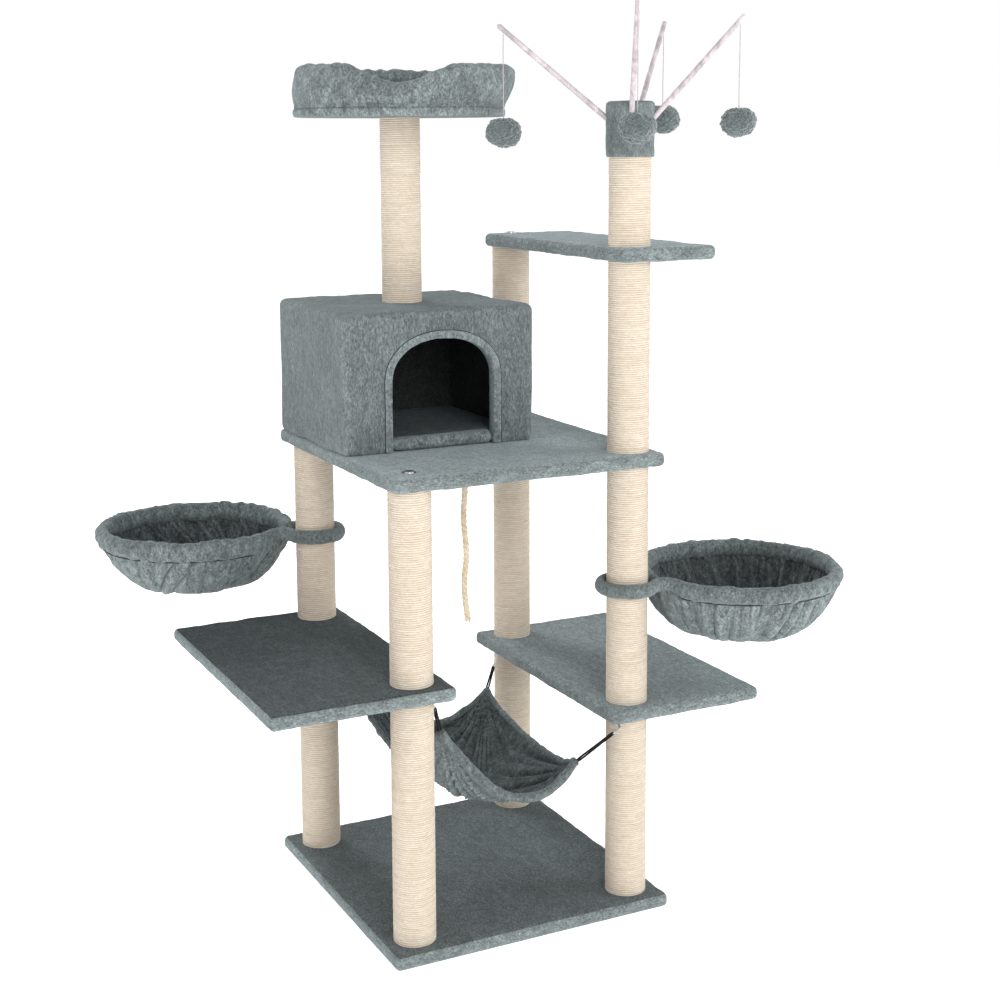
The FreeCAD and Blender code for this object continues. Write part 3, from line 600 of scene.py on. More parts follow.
# Painted shade: a near-black copy of the plush for the house's inside walls.
SHADED_LINING = plush("plush_lining_painted_shade", (0.030, 0.033, 0.033), streak=0.25, sheen=0.05)
DARK_THREAD = braided("seam_thread", (0.035, 0.042, 0.042), 1500.0, 0.0002)
BALL_PLUSH = pompom_plush("plush_ball", (0.122, 0.145, 0.145))
SISAL = sisal_winding("sisal_winding")
ROPE = fibre_rope("rope_fibre")
STEEL = steel("zinc_steel")
ELASTIC = braided("black_elastic", (0.008, 0.006, 0.006), 1400.0, 0.0002, 0.8)
STRING = braided("white_string", (0.47, 0.42, 0.44), 2200.0, 0.0001, 0.7)
STICK = braided("stick_sleeve", (0.57, 0.505, 0.525), 60.0, 0.0001, 0.7)
BY_SLOT = {
    "chipboard": speckled("chipboard", (0.40, 0.27, 0.15), (0.70, 0.55, 0.37), 180.0, 0.8),
    "cardboard": speckled("cardboard", (0.42, 0.30, 0.18), (0.58, 0.44, 0.29), 90.0, 0.9),
    "plug_plastic": speckled("plug_plastic", (0.03, 0.03, 0.03), (0.05, 0.05, 0.05), 400.0, 0.5),
    "steel": STEEL,
    "white_plastic": STICK,
}


# ---------------------------------------------------------------- cords
def smooth_curve(name, route, fineness=12):
    """A smooth NURBS curve that a route's points steer."""
    curve = bpy.data.curves.new(name, "CURVE")
    curve.dimensions = "3D"
    curve.resolution_u = fineness
    spline = curve.splines.new("NURBS")
    spline.points.add(len(route) - 1)
    for point, place in zip(spline.points, route):
        point.co = (*place, 1.0)
    spline.order_u = 3
    spline.use_endpoint_u = True
    return curve


def spline_line(name, route):
    """Points along a route's smooth curve."""
    holder = add_object(name, smooth_curve(name, route, 24))
    bpy.context.view_layer.update()
    graph = bpy.context.evaluated_depsgraph_get()
    mesh = bpy.data.meshes.new_from_object(holder.evaluated_get(graph))
    places = np.array([vertex.co for vertex in mesh.vertices])
    bpy.data.objects.remove(holder)
    return places


def evenly(points, step):
    """The same line with points step apart."""
    points = np.asarray(points, float)
    reach = np.concatenate([[0], np.cumsum(np.linalg.norm(np.diff(points, axis=0), axis=1))])
    marks = np.linspace(0, reach[-1], max(2, int(round(reach[-1] / step)) + 1))
    return np.stack([np.interp(marks, reach, points[:, axis]) for axis in range(3)], 1)


ROPE_DIAMETER = 0.012
ROPE_LAY = 0.034
ROPE_STEP = 0.0016
ROPE_FRAY = 0.022
deck_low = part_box("deck_cover")[0][2]
# The rope's route in millimetres, down from the deck's underside.
ROPE_ROUTE = [(0, 0, -7), (0, 0, -66), (-5, 2, -128), (3, -1, -196), (-6, 3, -264), (3, -2, -330)]
rope_route = [(x / 1000, y / 1000, deck_low + z / 1000) for x, y, z in ROPE_ROUTE]


def strand_map(item):
    """A strand map for an upright piece: up it, then round its axis."""
    layer = item.data.uv_layers.new(name="strand")
    places = places_of(item)
    loops = np.empty(len(item.data.loops), np.int32)
    item.data.loops.foreach_get("vertex_index", loops)
    around = places[:, 0] + places[:, 1]
    uv = np.stack([places[loops, 2], around[loops]], 1)
    layer.data.foreach_set("uv", uv.astype(np.float32).ravel())


def laid_rope():
    """Three strands twisted round the rope's line, slightly opened at its lower end."""
    line = evenly(spline_line("rope_line", rope_route), ROPE_STEP)[2:]  # clear of the clamp
    along = np.linspace(0, 1, len(line)) * len(line) * ROPE_STEP
    _, side, front = ways_along(line, (0, 1, 0))
    end = ramp(along, along[-1] - ROPE_FRAY, along[-1])
    strands = []
    for number in range(3):
        turn = 2 * math.pi * (along / ROPE_LAY + number / 3)
        offset = ROPE_DIAMETER * (0.25 + 0.10 * end)
        round_line = side * np.cos(turn)[:, None] + front * np.sin(turn)[:, None]
        thick = ROPE_DIAMETER * (0.262 - 0.06 * end) * (1 + 0.03 * np.sin(along * 900 + number))
        strands.append(tube(line + round_line * offset[:, None], thick, 12, up=(0, 1, 0)))
    points, faces = merge(*strands)
    item = new_piece("climbing_rope_strands", points, faces, ROPE, "hanging_rope", "rope",
                     ["climbing_rope"])
    strand_map(item)
    relief(item, (0.00035, 0.0015, 5))
    return item


laid_rope()

STRING_DIAMETER = 0.0016
STRING_IN_BALL = 0.004
BALLS = (1, 2, 3, 4)


def soft_ball(number):
    """A fluffy ball hung from a stick's tip: curly pile, pulled in where the string enters."""
    low, high = extent(f"toy_ball_{number}")
    middle, half = (low + high) / 2, (high - low) / 2
    maker = bmesh.new()
    bmesh.ops.create_icosphere(maker, subdivisions=6, radius=1.0)
    item = object_from(maker, f"plush_ball_{number}")
    item.data.shade_smooth()
    ways = places_of(item)
    dimple = 1 - 0.16 * np.exp(-((1 - ways[:, 2]) / 0.05))
    set_places(item, middle + ways * (half - 0.0015) * dimple[:, None])
    relief(item, (0.0021, 0.0060, number), (0.0012, 0.0026, number + 9), (0.0012, 0.02, number + 20))
    return finish_piece(item, BALL_PLUSH, f"dangling_ball_{number}",
                        [f"toy_ball_{number}"])


def hang_string(number, ball):
    """A thin string from the stick down into the ball's top."""
    low, high = extent(f"toy_string_{number}")
    x, y = (low[:2] + high[:2]) / 2
    drift = 0.0006 * (-1) ** number
    route = [(x, y, high[2]), (x + drift, y, high[2] - 0.05), (x - drift, y, high[2] - 0.105),
             (x, y, low[2] - STRING_IN_BALL)]
    curve = smooth_curve(f"ball_string_{number}", route)
    curve.bevel_depth = STRING_DIAMETER / 2
    curve.bevel_resolution = 3
    curve.use_fill_caps = True
    item = add_object(curve.name, curve)
    finish_piece(item, STRING, f"dangling_ball_{number}", [f"toy_string_{number}"])
    return item


for ball_number in BALLS:
    hang_string(ball_number, soft_ball(ball_number))


# ---------------------------------------------------------------- posts
TURN_PITCH = 0.004
POST_SIDES = 60
STRAND_ROWS = 5
GROOVE_DEPTH = 0.00115
DEEPEST = 0.003
MAP_SHIFT = 3.7  # moves the fibre pattern from one post to the next
POST_NODES = sorted(name for name in NODES if "_sisal" in name)


def wound_post(node, seed):
    """Sisal wound turn on turn round the post's tube, each turn slightly uneven."""
    low, high = extent(node)
    axis, radius = (low[:2] + high[:2]) / 2, (high[0] - low[0]) / 2
    tall = high[2] - low[2]
    rows = (int(math.ceil(tall / TURN_PITCH)) + 1) * STRAND_ROWS + 1
    row, side = np.meshgrid(np.arange(rows), np.arange(POST_SIDES), indexing="ij")
    angle = 2 * math.pi * side / POST_SIDES
    phase = (row % STRAND_ROWS) / STRAND_ROWS
    climb = row / STRAND_ROWS + side / POST_SIDES - 1
    crown = 1 - np.abs(2 * phase - 1) ** 2.2
    strand = np.stack([np.cos(angle) * 0.04, np.sin(angle) * 0.04, np.floor(climb) * 0.05], -1)
    depth = GROOVE_DEPTH * (1 - crown) + 0.0004 * (1 + wobble(strand, 0.03, seed))
    depth += 0.00025 * (1 + wobble(strand, 0.012, seed + 3)) * (1 - crown)
    slide = 0.00035 * wobble(strand, 0.035, seed + 7)
    out = radius - np.clip(depth, 0, DEEPEST)
    level = np.clip(climb * TURN_PITCH + slide, 0, tall) + low[2]
    points = np.stack([axis[0] + out * np.cos(angle), axis[1] + out * np.sin(angle), level], -1)
    last = rows - STRAND_ROWS - 1
    row, side = np.meshgrid(np.arange(last), np.arange(POST_SIDES), indexing="ij")
    beside = (side + 1) % POST_SIDES
    jump = np.where(side + 1 == POST_SIDES, STRAND_ROWS, 0)
    corners = [row * POST_SIDES + side, (row + jump) * POST_SIDES + beside,
               (row + jump + 1) * POST_SIDES + beside, (row + 1) * POST_SIDES + side]
    faces = np.stack(corners, -1).reshape(-1, 4)
    around = 2 * math.pi * radius
    turn = row // STRAND_ROWS
    along = [turn + side / POST_SIDES, turn + (side + 1) / POST_SIDES]
    across = [(row % STRAND_ROWS) / STRAND_ROWS, (row % STRAND_ROWS + 1) / STRAND_ROWS]
    uv = np.stack([np.stack([along[i] * around, across[j]], -1)
                   for i, j in ((0, 0), (1, 0), (1, 1), (0, 1))], 2).reshape(-1, 4, 2)
    flat = points.reshape(-1, 3)
    heights = flat[faces][:, :, 2]
    kept = heights.max(1) - heights.min(1) > 1e-6
    return new_piece(node + "_winding", flat, faces[kept], SISAL, TOWER, "sisal", [node],
                     uv[kept] + np.array([seed * MAP_SHIFT, 0.0]))


for post_number, post_node in enumerate(POST_NODES):
    wound_post(post_node, post_number)


# ---------------------------------------------------------------- plush-covered plates
# Each plate's plush is a lighter or darker tint of one grey, painted light and shade: the base and the left
# shelf darker, the other plates lighter.
PLATE_LIGHT_AND_SHADE = {"base": 0.66, "left_shelf": 0.39, "right_shelf": 1.18, "deck": 1.38, "upper_shelf": 1.38}
EDGE_ROUND = 0.0095
PLATE_SWELL = 0.0007


def covered_plate(name, seed):
    """A board wrapped in plush: rounded edges and slightly uneven pile."""
    # The plate's painted light and shade: a tint of the grey, which also scales its sheen.
    lean = PLATE_LIGHT_AND_SHADE[name]
    material = plush(f"plush_{name}", tint(PLUSH_GREY, lean), (1.0, 0.5, 1.0), streak=0.20,
                     crush=0.6, sheen=0.25 * lean)
    node = f"{name}_cover"
    low, high = extent(node)
    swell = np.array([PLATE_SWELL, PLATE_SWELL, 0.0])
    points, faces = rounded_block(low - swell, high + swell, EDGE_ROUND, 0.005)
    item = new_piece(f"{name}_plush", points, faces, material, TOWER, "plush", [node])
    # The plate's sides get the lighter copy, painted light.
    painted_light_sides = (np.abs(normals_of(item)[:, 2]) < 0.8)[faces].sum(1) >= 2
    second_material(item, LIT_EDGE_PLUSH, painted_light_sides)
    places = places_of(item)
    middle = mid(node)
    rim = np.maximum(np.abs(places[:, 0] - middle[0]) - (high[0] - low[0]) / 2,
                     np.abs(places[:, 1] - middle[1]) - (high[1] - low[1]) / 2)
    near_rim = ramp(rim, -0.03, -0.004)
    above_ground = ramp(places[:, 2], low[2] + 0.001, low[2] + 0.008) if name == "base" else 1.0
    relief(item, (0.0008, 0.035, seed), (0.0006, 0.012, seed + 5), share=near_rim * above_ground)
    relief(item, (0.0003, 0.02, seed + 8), share=above_ground)
    return item


for plate_number, plate_name in enumerate(PLATE_LIGHT_AND_SHADE):
    covered_plate(plate_name, plate_number * 11 + 1)


# ---------------------------------------------------------------- house
house_low, house_high = extent("house_cover")
front_wall = extent("house_front_wall")
left_wall = extent("house_left_wall")
right_wall = extent("house_right_wall")
back_wall = extent("house_back_wall")
roof_panel = extent("house_roof")
floor_panel = extent("house_floor")
DOOR_MIDDLE = -0.070
DOOR_SHAPE = 2.2  # the arch's roundness: 2 is an ellipse, more is squarer
DOOR_HALF = 0.103
DOOR_SPRING = house_low[2] + 0.128
DOOR_RISE = 0.078
LINING = 0.003


def door_edge(grow=0.0, low=0.0, count=121):
    """Points up one side of the doorway, over its arch and down the other, with outward normals."""
    angle = np.linspace(math.pi, 0, count)
    power = 2 / DOOR_SHAPE
    arch_x = DOOR_HALF * np.sign(np.cos(angle)) * np.abs(np.cos(angle)) ** power
    arch_z = DOOR_RISE * np.abs(np.sin(angle)) ** power
    upright = np.linspace(house_low[2] + low, DOOR_SPRING, 40)[:-1]
    x = np.concatenate([np.full(39, -DOOR_HALF), arch_x, np.full(39, DOOR_HALF)])
    z = np.concatenate([upright, DOOR_SPRING + arch_z, upright[::-1]])
    line = evenly(np.stack([x, np.zeros_like(x), z], 1), 0.004)
    way = unit(np.gradient(line, axis=0))
    normal = np.stack([-way[:, 2], np.zeros(len(way)), way[:, 0]], 1)
    return line + normal * grow + np.array([DOOR_MIDDLE, 0, 0]), normal


def box_object(name, low, high):
    """A plain box, to cut with."""
    maker = bmesh.new()
    bmesh.ops.create_cube(maker, size=1.0)
    low, high = Vector(low), Vector(high)
    for vertex in maker.verts:
        vertex.co = (low + high) / 2 + Vector([vertex.co[i] * (high[i] - low[i]) for i in range(3)])
    return object_from(maker, name)


def arch_object(name, grow, front, back):
    """A prism through the doorway, to cut with."""
    line, _ = door_edge(grow, -0.01)
    count = len(line)
    points = np.vstack([line + (0, front, 0), line + (0, back, 0)])
    faces = [tuple(range(count))[::-1], tuple(range(count, 2 * count))]
    faces += [(i, (i + 1) % count, (i + 1) % count + count, i + count) for i in range(count)]
    mesh = bpy.data.meshes.new(name)
    mesh.from_pydata(points.tolist(), [], faces)
    maker = bmesh.new()
    maker.from_mesh(mesh)
    bmesh.ops.recalc_face_normals(maker, faces=maker.faces)
    return object_from(maker, name)


def carve(item, *cutters):
    """Cut objects out of a piece."""
    for cutter in cutters:
        step = item.modifiers.new("cut", "BOOLEAN")
        step.operation = "DIFFERENCE"
        step.solver = "EXACT"
        step.object = cutter
    apply_modifiers(item)
    for cutter in cutters:
        bpy.data.objects.remove(cutter)


def remesh(item, voxel, smooth):
    """Turn a piece into one even skin, then soften its edges."""
    step = item.modifiers.new("remesh", "REMESH")
    step.mode = "VOXEL"
    step.voxel_size = voxel
    soften = item.modifiers.new("soften", "SMOOTH")
    soften.factor = 0.5
    soften.iterations = smooth
    apply_modifiers(item)


SKIN_VOXEL = 0.0035


def house_shell():
    """The plush skin over the house and its lining inside, in one soft piece."""
    points, faces = rounded_block(house_low - (0.001, 0.001, 0.02), house_high + 0.001, 0.013, 0.02)
    item = new_piece("house_plush", points, faces, None, None)
    room_low = [left_wall[1][0] + LINING, front_wall[1][1] + LINING, house_low[2] - 0.02]
    room_high = [right_wall[0][0] - LINING, back_wall[0][1] - LINING, roof_panel[0][2] - LINING]
    carve(item, box_object("ground", house_low - 0.1, (*house_high[:2] + 0.1, house_low[2])),
          box_object("room", room_low, room_high),
          arch_object("door_way", 0.0015, house_low[1] - 0.02, front_wall[1][1] + 0.02))
    remesh(item, SKIN_VOXEL, 3)
    places = places_of(item)
    # The roof's front left corner is pressed in, and the skin is drawn in at its foot.
    corner = np.array([house_low[0], house_low[1], house_high[2]])
    near = np.exp(-(np.linalg.norm((places - corner) / (1.0, 1.0, 0.8), axis=1) / 0.05) ** 2)
    inward = np.array([0.4, 0.45, -0.8])
    places = places + near[:, None] * inward * 0.011
    outer = ((places[:, 0] < house_low[0] + 0.006) | (places[:, 0] > house_high[0] - 0.006)
             | (places[:, 1] < house_low[1] + 0.006) | (places[:, 1] > house_high[1] - 0.006))
    foot = np.exp(-((places[:, 2] - house_low[2]) / 0.007) ** 2) * outer
    middle = (house_low + house_high) / 2
    places[:, :2] -= np.sign(places[:, :2] - middle[:2]) * (foot * 0.0025)[:, None]
    set_places(item, places)
    places = places_of(item)
    # The pile lies flat round the doorway, where the binding holds it.
    beside_door = ramp(np.abs(places[:, 0] - DOOR_MIDDLE), DOOR_HALF + 0.05, DOOR_HALF + 0.02)
    over_door = ramp(places[:, 2], DOOR_SPRING + DOOR_RISE + 0.045, DOOR_SPRING + DOOR_RISE + 0.02)
    at_front = places[:, 1] < house_low[1] + 0.008
    calm = 1 - 0.9 * beside_door * over_door * at_front
    relief(item, (0.0018, np.array([0.05, 0.05, 0.11]), 3),
           (0.0009, np.array([0.016, 0.016, 0.05]), 4), (0.0004, 0.007, 6), share=calm)
    finish_piece(item, WALL_PLUSH, TOWER, [
        "house_cover", "house_front_wall", "house_left_wall", "house_right_wall",
        "house_back_wall", "house_roof"])
    # The inside faces of the house get the near-black lining, painted shade.
    centres = face_vectors(item, "center")
    inside = (centres > np.array(room_low) - 0.004) & (centres < np.array(room_high) + 0.004)
    second_material(item, SHADED_LINING, inside.all(1))
    return item


def house_mat():
    """The floor's padded plush mat, rolled over the sill in the doorway."""
    top = floor_panel[1][2] + 0.009
    points, faces = rounded_block(
        (left_wall[1][0] + 0.004, front_wall[1][1] + 0.002, floor_panel[0][2] + 0.002),
        (right_wall[0][0] - 0.004, back_wall[0][1] - 0.004, top), 0.006, 0.012)
    sill, sill_faces = rounded_block(
        (DOOR_MIDDLE - DOOR_HALF - 0.0005, house_low[1] + 0.0015, floor_panel[0][2] + 0.0008),
        (DOOR_MIDDLE + DOOR_HALF + 0.0005, front_wall[1][1] + 0.03, top + 0.001), 0.0115, 0.012)
    points, faces = merge((points, faces), (sill, sill_faces))
    item = new_piece("house_floor_plush", points, faces, None, None)
    remesh(item, SKIN_VOXEL, 4)
    relief(item, (0.0012, 0.05, 14), (0.0006, 0.016, 15))
    finish_piece(item, SOFT_PLUSH, TOWER, ["house_floor"])
    # The mat behind the sill gets the darker copy, painted shade.
    second_material(item, SHADED_MAT_PLUSH, face_vectors(item, "center")[:, 1] > house_low[1] + 0.024)
    return item


def door_binding():
    """A sewn band round the doorway, folded over its edge and into the lining."""
    # The band's section: (out from the doorway's edge, in from the house's front).
    section = [(0.0150, -0.0002), (0.0146, -0.0018), (0.0125, -0.0029), (0.0090, -0.0032),
               (0.0050, -0.0031), (0.0022, -0.0026), (0.0006, -0.0014), (0.0, 0.0008),
               (0.0002, 0.0100), (0.0002, 0.0190), (0.0026, 0.0190), (0.0027, 0.0040),
               (0.0032, 0.0008), (0.0100, 0.0004)]
    line, normal = door_edge(0.0, 0.0012)
    section = np.array(section)
    points = (line[:, None] + normal[:, None] * section[None, :, :1]
              + np.array([0, 1, 0]) * section[None, :, 1:])
    points[..., 1] += house_low[1]
    rows, columns = points.shape[:2]
    faces = [tuple(f) for f in lattice(rows, columns, (False, True))]
    faces += [tuple(range(columns))[::-1], tuple(range((rows - 1) * columns, rows * columns))]
    item = new_piece("door_binding_band", points, faces, TRIM_PLUSH, TOWER, "plush_trim",
                     ["door_binding"])
    relief(item, (0.0005, 0.012, 31), (0.0003, 0.004, 32))
    stitch_line, _ = door_edge(0.0153, 0.0012)
    stitch_line[:, 1] += house_low[1] - 0.0009
    seam = tube(evenly(stitch_line, 0.002), 0.0011, 8, up=(0, 1, 0))
    new_piece("door_seam", *seam, DARK_THREAD, TOWER, "plush_trim")
    return item


house_shell()
house_mat()
door_binding()


# ---------------------------------------------------------------- bed
BED_MIDDLE = mid("bed_board")[:2]
bed_low, bed_high = extent("bed_bolster")
BED_RADIUS = (bed_high[0] - bed_low[0]) / 2
BED_TALL = bed_high[2] - bed_low[2]
BED_DIP = 0.038
BED_DIP_BEARING = math.radians(-117)
BED_DIP_REACH = 0.118
BED_LEAN = 0.013
BED_LEAN_WAY = (math.cos(CAMERA_TURN), math.sin(CAMERA_TURN))
BED_DROOP = 0.009
BED_WALL_FOOT = 0.024
BED_FLOOR = 0.026
CREST_MIDDLE = 0.1855
CREST_HALF = 0.0215
# (radius, height) up the bed's piped foot and the start of its wall
BED_FOOT = [(0.1990, 0.0012), (0.2004, 0.005), (0.2010, 0.010), (0.2003, 0.0140), (0.1985, 0.0154),
            (0.1994, 0.0172), (0.2006, 0.024)]
# how far the gathers push each stretch of the padding out, and up
BED_GATHERS = {"plain": (0.0, 0.0), "crest": (0.45, 0.6), "inside": (1.0, 0.5)}


def padded_bed():
    """A round bed: hem, bulging padded wall with a low entrance, gathered inside, soft floor."""
    turns = 420
    angle = np.linspace(0, 2 * math.pi, turns, endpoint=False)
    facing = np.cos(angle - BED_DIP_BEARING)
    sideways = np.abs(np.sin(angle - BED_DIP_BEARING)) * BED_RADIUS
    near = np.clip(1 - np.sqrt(sideways ** 2 + 0.016 ** 2) / BED_DIP_REACH, 0, 1)
    dip = BED_DIP * 1.16 * near ** 1.12 * (facing > 0)
    uneven = np.stack([facing, np.sin(angle), angle * 0], 1)
    wall_top = BED_TALL - BED_DROOP - (dip - 0.0012 * wobble(uneven, 0.4, 2))
    crook = 0.0014 * wobble(uneven, 0.25, 31)
    inside_top = wall_top - CREST_HALF
    rings = [(0.185 + 0.012 * share, 0.0, "plain") for share in np.linspace(0.0, 1.0, 5)[:-1]]
    for radius, level in BED_FOOT:
        rings.append((radius, level + crook * min(1.0, level / 0.012), "plain"))
    for share in np.linspace(0.08, 1, 9):
        bulge = 0.2008 + 0.0040 * math.sin(share * math.pi) + 0.0060 * share
        level = BED_WALL_FOOT + (wall_top - BED_WALL_FOOT - CREST_HALF) * share
        rings.append((bulge, level, "plain"))
    for turn in np.linspace(0.12, 0.88, 13) * math.pi:
        level = wall_top - CREST_HALF + CREST_HALF * math.sin(turn)
        rings.append((CREST_MIDDLE + CREST_HALF * math.cos(turn), level, "crest"))
    for share in np.linspace(0, 1, 9):
        level = inside_top + (BED_FLOOR - inside_top) * share
        rings.append((0.1670 - 0.004 * math.sin(share * math.pi), level, "inside"))
    for share in np.linspace(0.04, 0.985, 24):
        crown = 0.010 * (1 - (1 - share) ** 4) - 0.002
        rings.append((0.166 * (1 - share), BED_FLOOR + crown, "plain"))
    radius = np.array([np.full(turns, ring[0]) for ring in rings])
    height = np.array([np.broadcast_to(ring[1], turns) for ring in rings])
    push_out, push_up = np.array([BED_GATHERS[ring[2]] for ring in rings]).T
    # Gathers run round the inside of the wall and fade over the crest.
    gather = (np.sin(angle * 31 + 2.2 * np.sin(angle * 5)) + 0.6 * np.sin(angle * 53 + 1.0))
    gather = gather * (0.55 + 0.45 * wobble(circle(angle), 0.35, 9))
    radius = radius + 0.0026 * gather[None] * push_out[:, None]
    height = height + 0.0024 * gather[None] * push_up[:, None]
    lean = BED_LEAN * ramp(height, 0.012, 0.09)
    x = BED_MIDDLE[0] + radius * np.cos(angle) + lean * BED_LEAN_WAY[0]
    y = BED_MIDDLE[1] + radius * np.sin(angle) + lean * BED_LEAN_WAY[1]
    points = np.stack([x, y, bed_low[2] + height], -1)
    centres = np.array([[*BED_MIDDLE, bed_low[2]], [*points[-1].mean(0)]])
    faces = ring_faces(len(points), turns)
    item = new_piece("bed_padding", np.vstack([points.reshape(-1, 3), centres]), faces,
                     SOFT_PLUSH, TOWER, "plush", ["bed_bolster"])
    above = ramp(places_of(item)[:, 2], bed_low[2] + 0.001, bed_low[2] + 0.01)
    relief(item, (0.0030, np.array([0.06, 0.06, 0.030]), 21), (0.0015, 0.018, 22),
           (0.0007, 0.006, 23), share=above)
    return item


padded_bed()


# ---------------------------------------------------------------- baskets
# Each basket's post, its hoop's radius and distance from the post, the way it points in degrees, the
# bowl's depth, the ring's height, and how its cloth folds.
BASKETS = {
    "left": {"post": "rear_left_sisal_upper", "hoop": 0.181, "reach": 0.253, "turn": 142,
             "deep": 0.126, "level": 0.674, "seed": 41, "slant": 0.85, "folds": 8,
             "fold_size": 0.0150, "band_half": 0.0190, "band_drop": 0.0090},
    "right": {"post": "front_right_sisal_middle", "hoop": 0.185, "reach": 0.257, "turn": 2,
              "deep": 0.134, "level": 0.623, "seed": 61, "slant": 0.2, "folds": 15,
              "fold_size": 0.0120, "band_half": 0.0162, "band_drop": 0.0068},
}
RING_RADIUS = 0.0508
NECK_ROUND = 0.025


def arc(centre, radius, start, sweep):
    """Points about 3 degrees apart along an arc."""
    angles = np.radians(np.linspace(start, start + sweep, int(abs(sweep) / 3.0) + 2))
    return np.stack([centre[0] + radius * np.cos(angles), centre[1] + radius * np.sin(angles),
                     np.zeros(len(angles))], 1)


def keyhole(hoop, reach):
    """The wire's closed line about the post: ring, waisted neck and hoop."""
    along = (reach ** 2 + (RING_RADIUS + NECK_ROUND) ** 2 - (hoop + NECK_ROUND) ** 2) / (2 * reach)
    across = math.sqrt((RING_RADIUS + NECK_ROUND) ** 2 - along ** 2)
    at_ring = math.degrees(math.atan2(across, along))
    at_hoop = math.degrees(math.atan2(across, along - reach))
    turn = at_hoop - at_ring
    parts = [
        arc((0, 0), RING_RADIUS, 180, 180 - at_ring),
        arc((along, -across), NECK_ROUND, 180 - at_ring, -turn),
        arc((reach, 0), hoop, -at_hoop, 2 * at_hoop),
        arc((along, across), NECK_ROUND, at_hoop - 180, -turn),
        arc((0, 0), RING_RADIUS, at_ring, 180 - at_ring),
    ]
    return evenly(np.vstack(parts), 0.003)[:-1]


def turned(points, side):
    """Basket-frame points to their place: turned about the post and lifted to the ring's level."""
    facts = BASKETS[side]
    angle = math.radians(facts["turn"])
    post = mid(facts["post"])
    x = points[..., 0] * math.cos(angle) - points[..., 1] * math.sin(angle) + post[0]
    y = points[..., 0] * math.sin(angle) + points[..., 1] * math.cos(angle) + post[1]
    return np.stack([x, y, points[..., 2] + facts["level"]], -1)


def basket_sleeve(side):
    """The plush tube over the ring, the neck and the hoop."""
    facts = BASKETS[side]
    line = keyhole(facts["hoop"], facts["reach"])
    from_post = np.linalg.norm(line[:, :2], axis=1)
    on_ring = 1 - ramp(from_post, 0.06, 0.13)
    sides = 20
    places, faces = tube(line, 0.0094, sides, closed=True)
    rings = places.reshape(len(line), sides, 3)
    rings[..., 2] *= (1 + 0.42 * on_ring)[:, None]
    item = new_piece(f"{side}_basket_sleeve_plush", turned(rings, side), faces, TRIM_PLUSH,
                     f"{side}_basket", "plush_trim", [f"{side}_basket_sleeve"])
    relief(item, (0.0006, 0.016, facts["seed"]), (0.0004, 0.006, facts["seed"] + 1))
    return item


BAND_HALF_WIDE = 0.0122
BAND_FOLDS = 43
BASKET_TURNS = 480
BOWL_TURNS = 288
BOWL_FULLNESS = 0.80
BOWL_DROOP = 0.92
BOWL_THICK = 0.0034
HELD_RINGS = 3


def slimness(angle):
    """1 round most of a basket, and less on the side that faces its post, where the band is slim."""
    return 1 - 0.55 * ramp(-np.cos(angle), 0.93, 0.985)


def about_hoop(facts, radius, angle, height):
    """Points round the middle of a basket's hoop, in the basket's own frame."""
    return np.stack([facts["reach"] + radius * np.cos(angle), radius * np.sin(angle), height], -1)


def basket_band(side):
    """The gathered casing sewn over the hoop."""
    facts = BASKETS[side]
    angle = np.linspace(0, 2 * math.pi, BASKET_TURNS, endpoint=False)
    around = np.linspace(0, 2 * math.pi, 28, endpoint=False)
    angle_grid, around_grid = np.meshgrid(angle, around, indexing="ij")
    slim = slimness(angle_grid)
    lower = np.clip(-np.sin(around_grid), 0, 1)
    fold = gathers(angle_grid + 0.05 * np.sin(around_grid), BAND_FOLDS, facts["seed"])
    fold = fold + 0.5 * gathers(angle_grid - 0.04 * np.sin(around_grid), 71, facts["seed"] + 2)
    swell = 1 + 0.30 * fold * slim * (0.55 + 0.45 * lower)
    wide = BAND_HALF_WIDE * slim * swell * (1 - 0.35 * lower ** 3)
    tall = facts["band_half"] * slim * (1 + 0.08 * fold)
    radius = facts["hoop"] + 0.001 + wide * np.cos(around_grid)
    height = -facts["band_drop"] * slim + tall * np.sin(around_grid)
    points = about_hoop(facts, radius, angle_grid, height)
    faces = lattice(BASKET_TURNS, len(around), (True, True))
    item = new_piece(f"{side}_basket_band", turned(points, side), faces, TRIM_PLUSH,
                     f"{side}_basket", "plush_trim")
    relief(item, (0.0028, 0.022, facts["seed"] + 3), (0.0018, 0.011, facts["seed"] + 4),
           (0.0006, 0.005, facts["seed"] + 8))
    return item


def basket_seam(side):
    """The stitched line where the bowl joins the band."""
    facts = BASKETS[side]
    angle = np.linspace(0, 2 * math.pi, BASKET_TURNS, endpoint=False)
    slim = slimness(angle)
    radius = facts["hoop"] + 0.0045 * slim + 0.0008 * gathers(angle, BAND_FOLDS, facts["seed"])
    height = -facts["band_drop"] * slim - facts["band_half"] * 0.97 * slim
    line = about_hoop(facts, radius, angle, height)
    places, faces = tube(turned(line, side), 0.0011, 6, closed=True)
    return new_piece(f"{side}_basket_seam", places, faces, DARK_THREAD, f"{side}_basket",
                     "plush_trim")


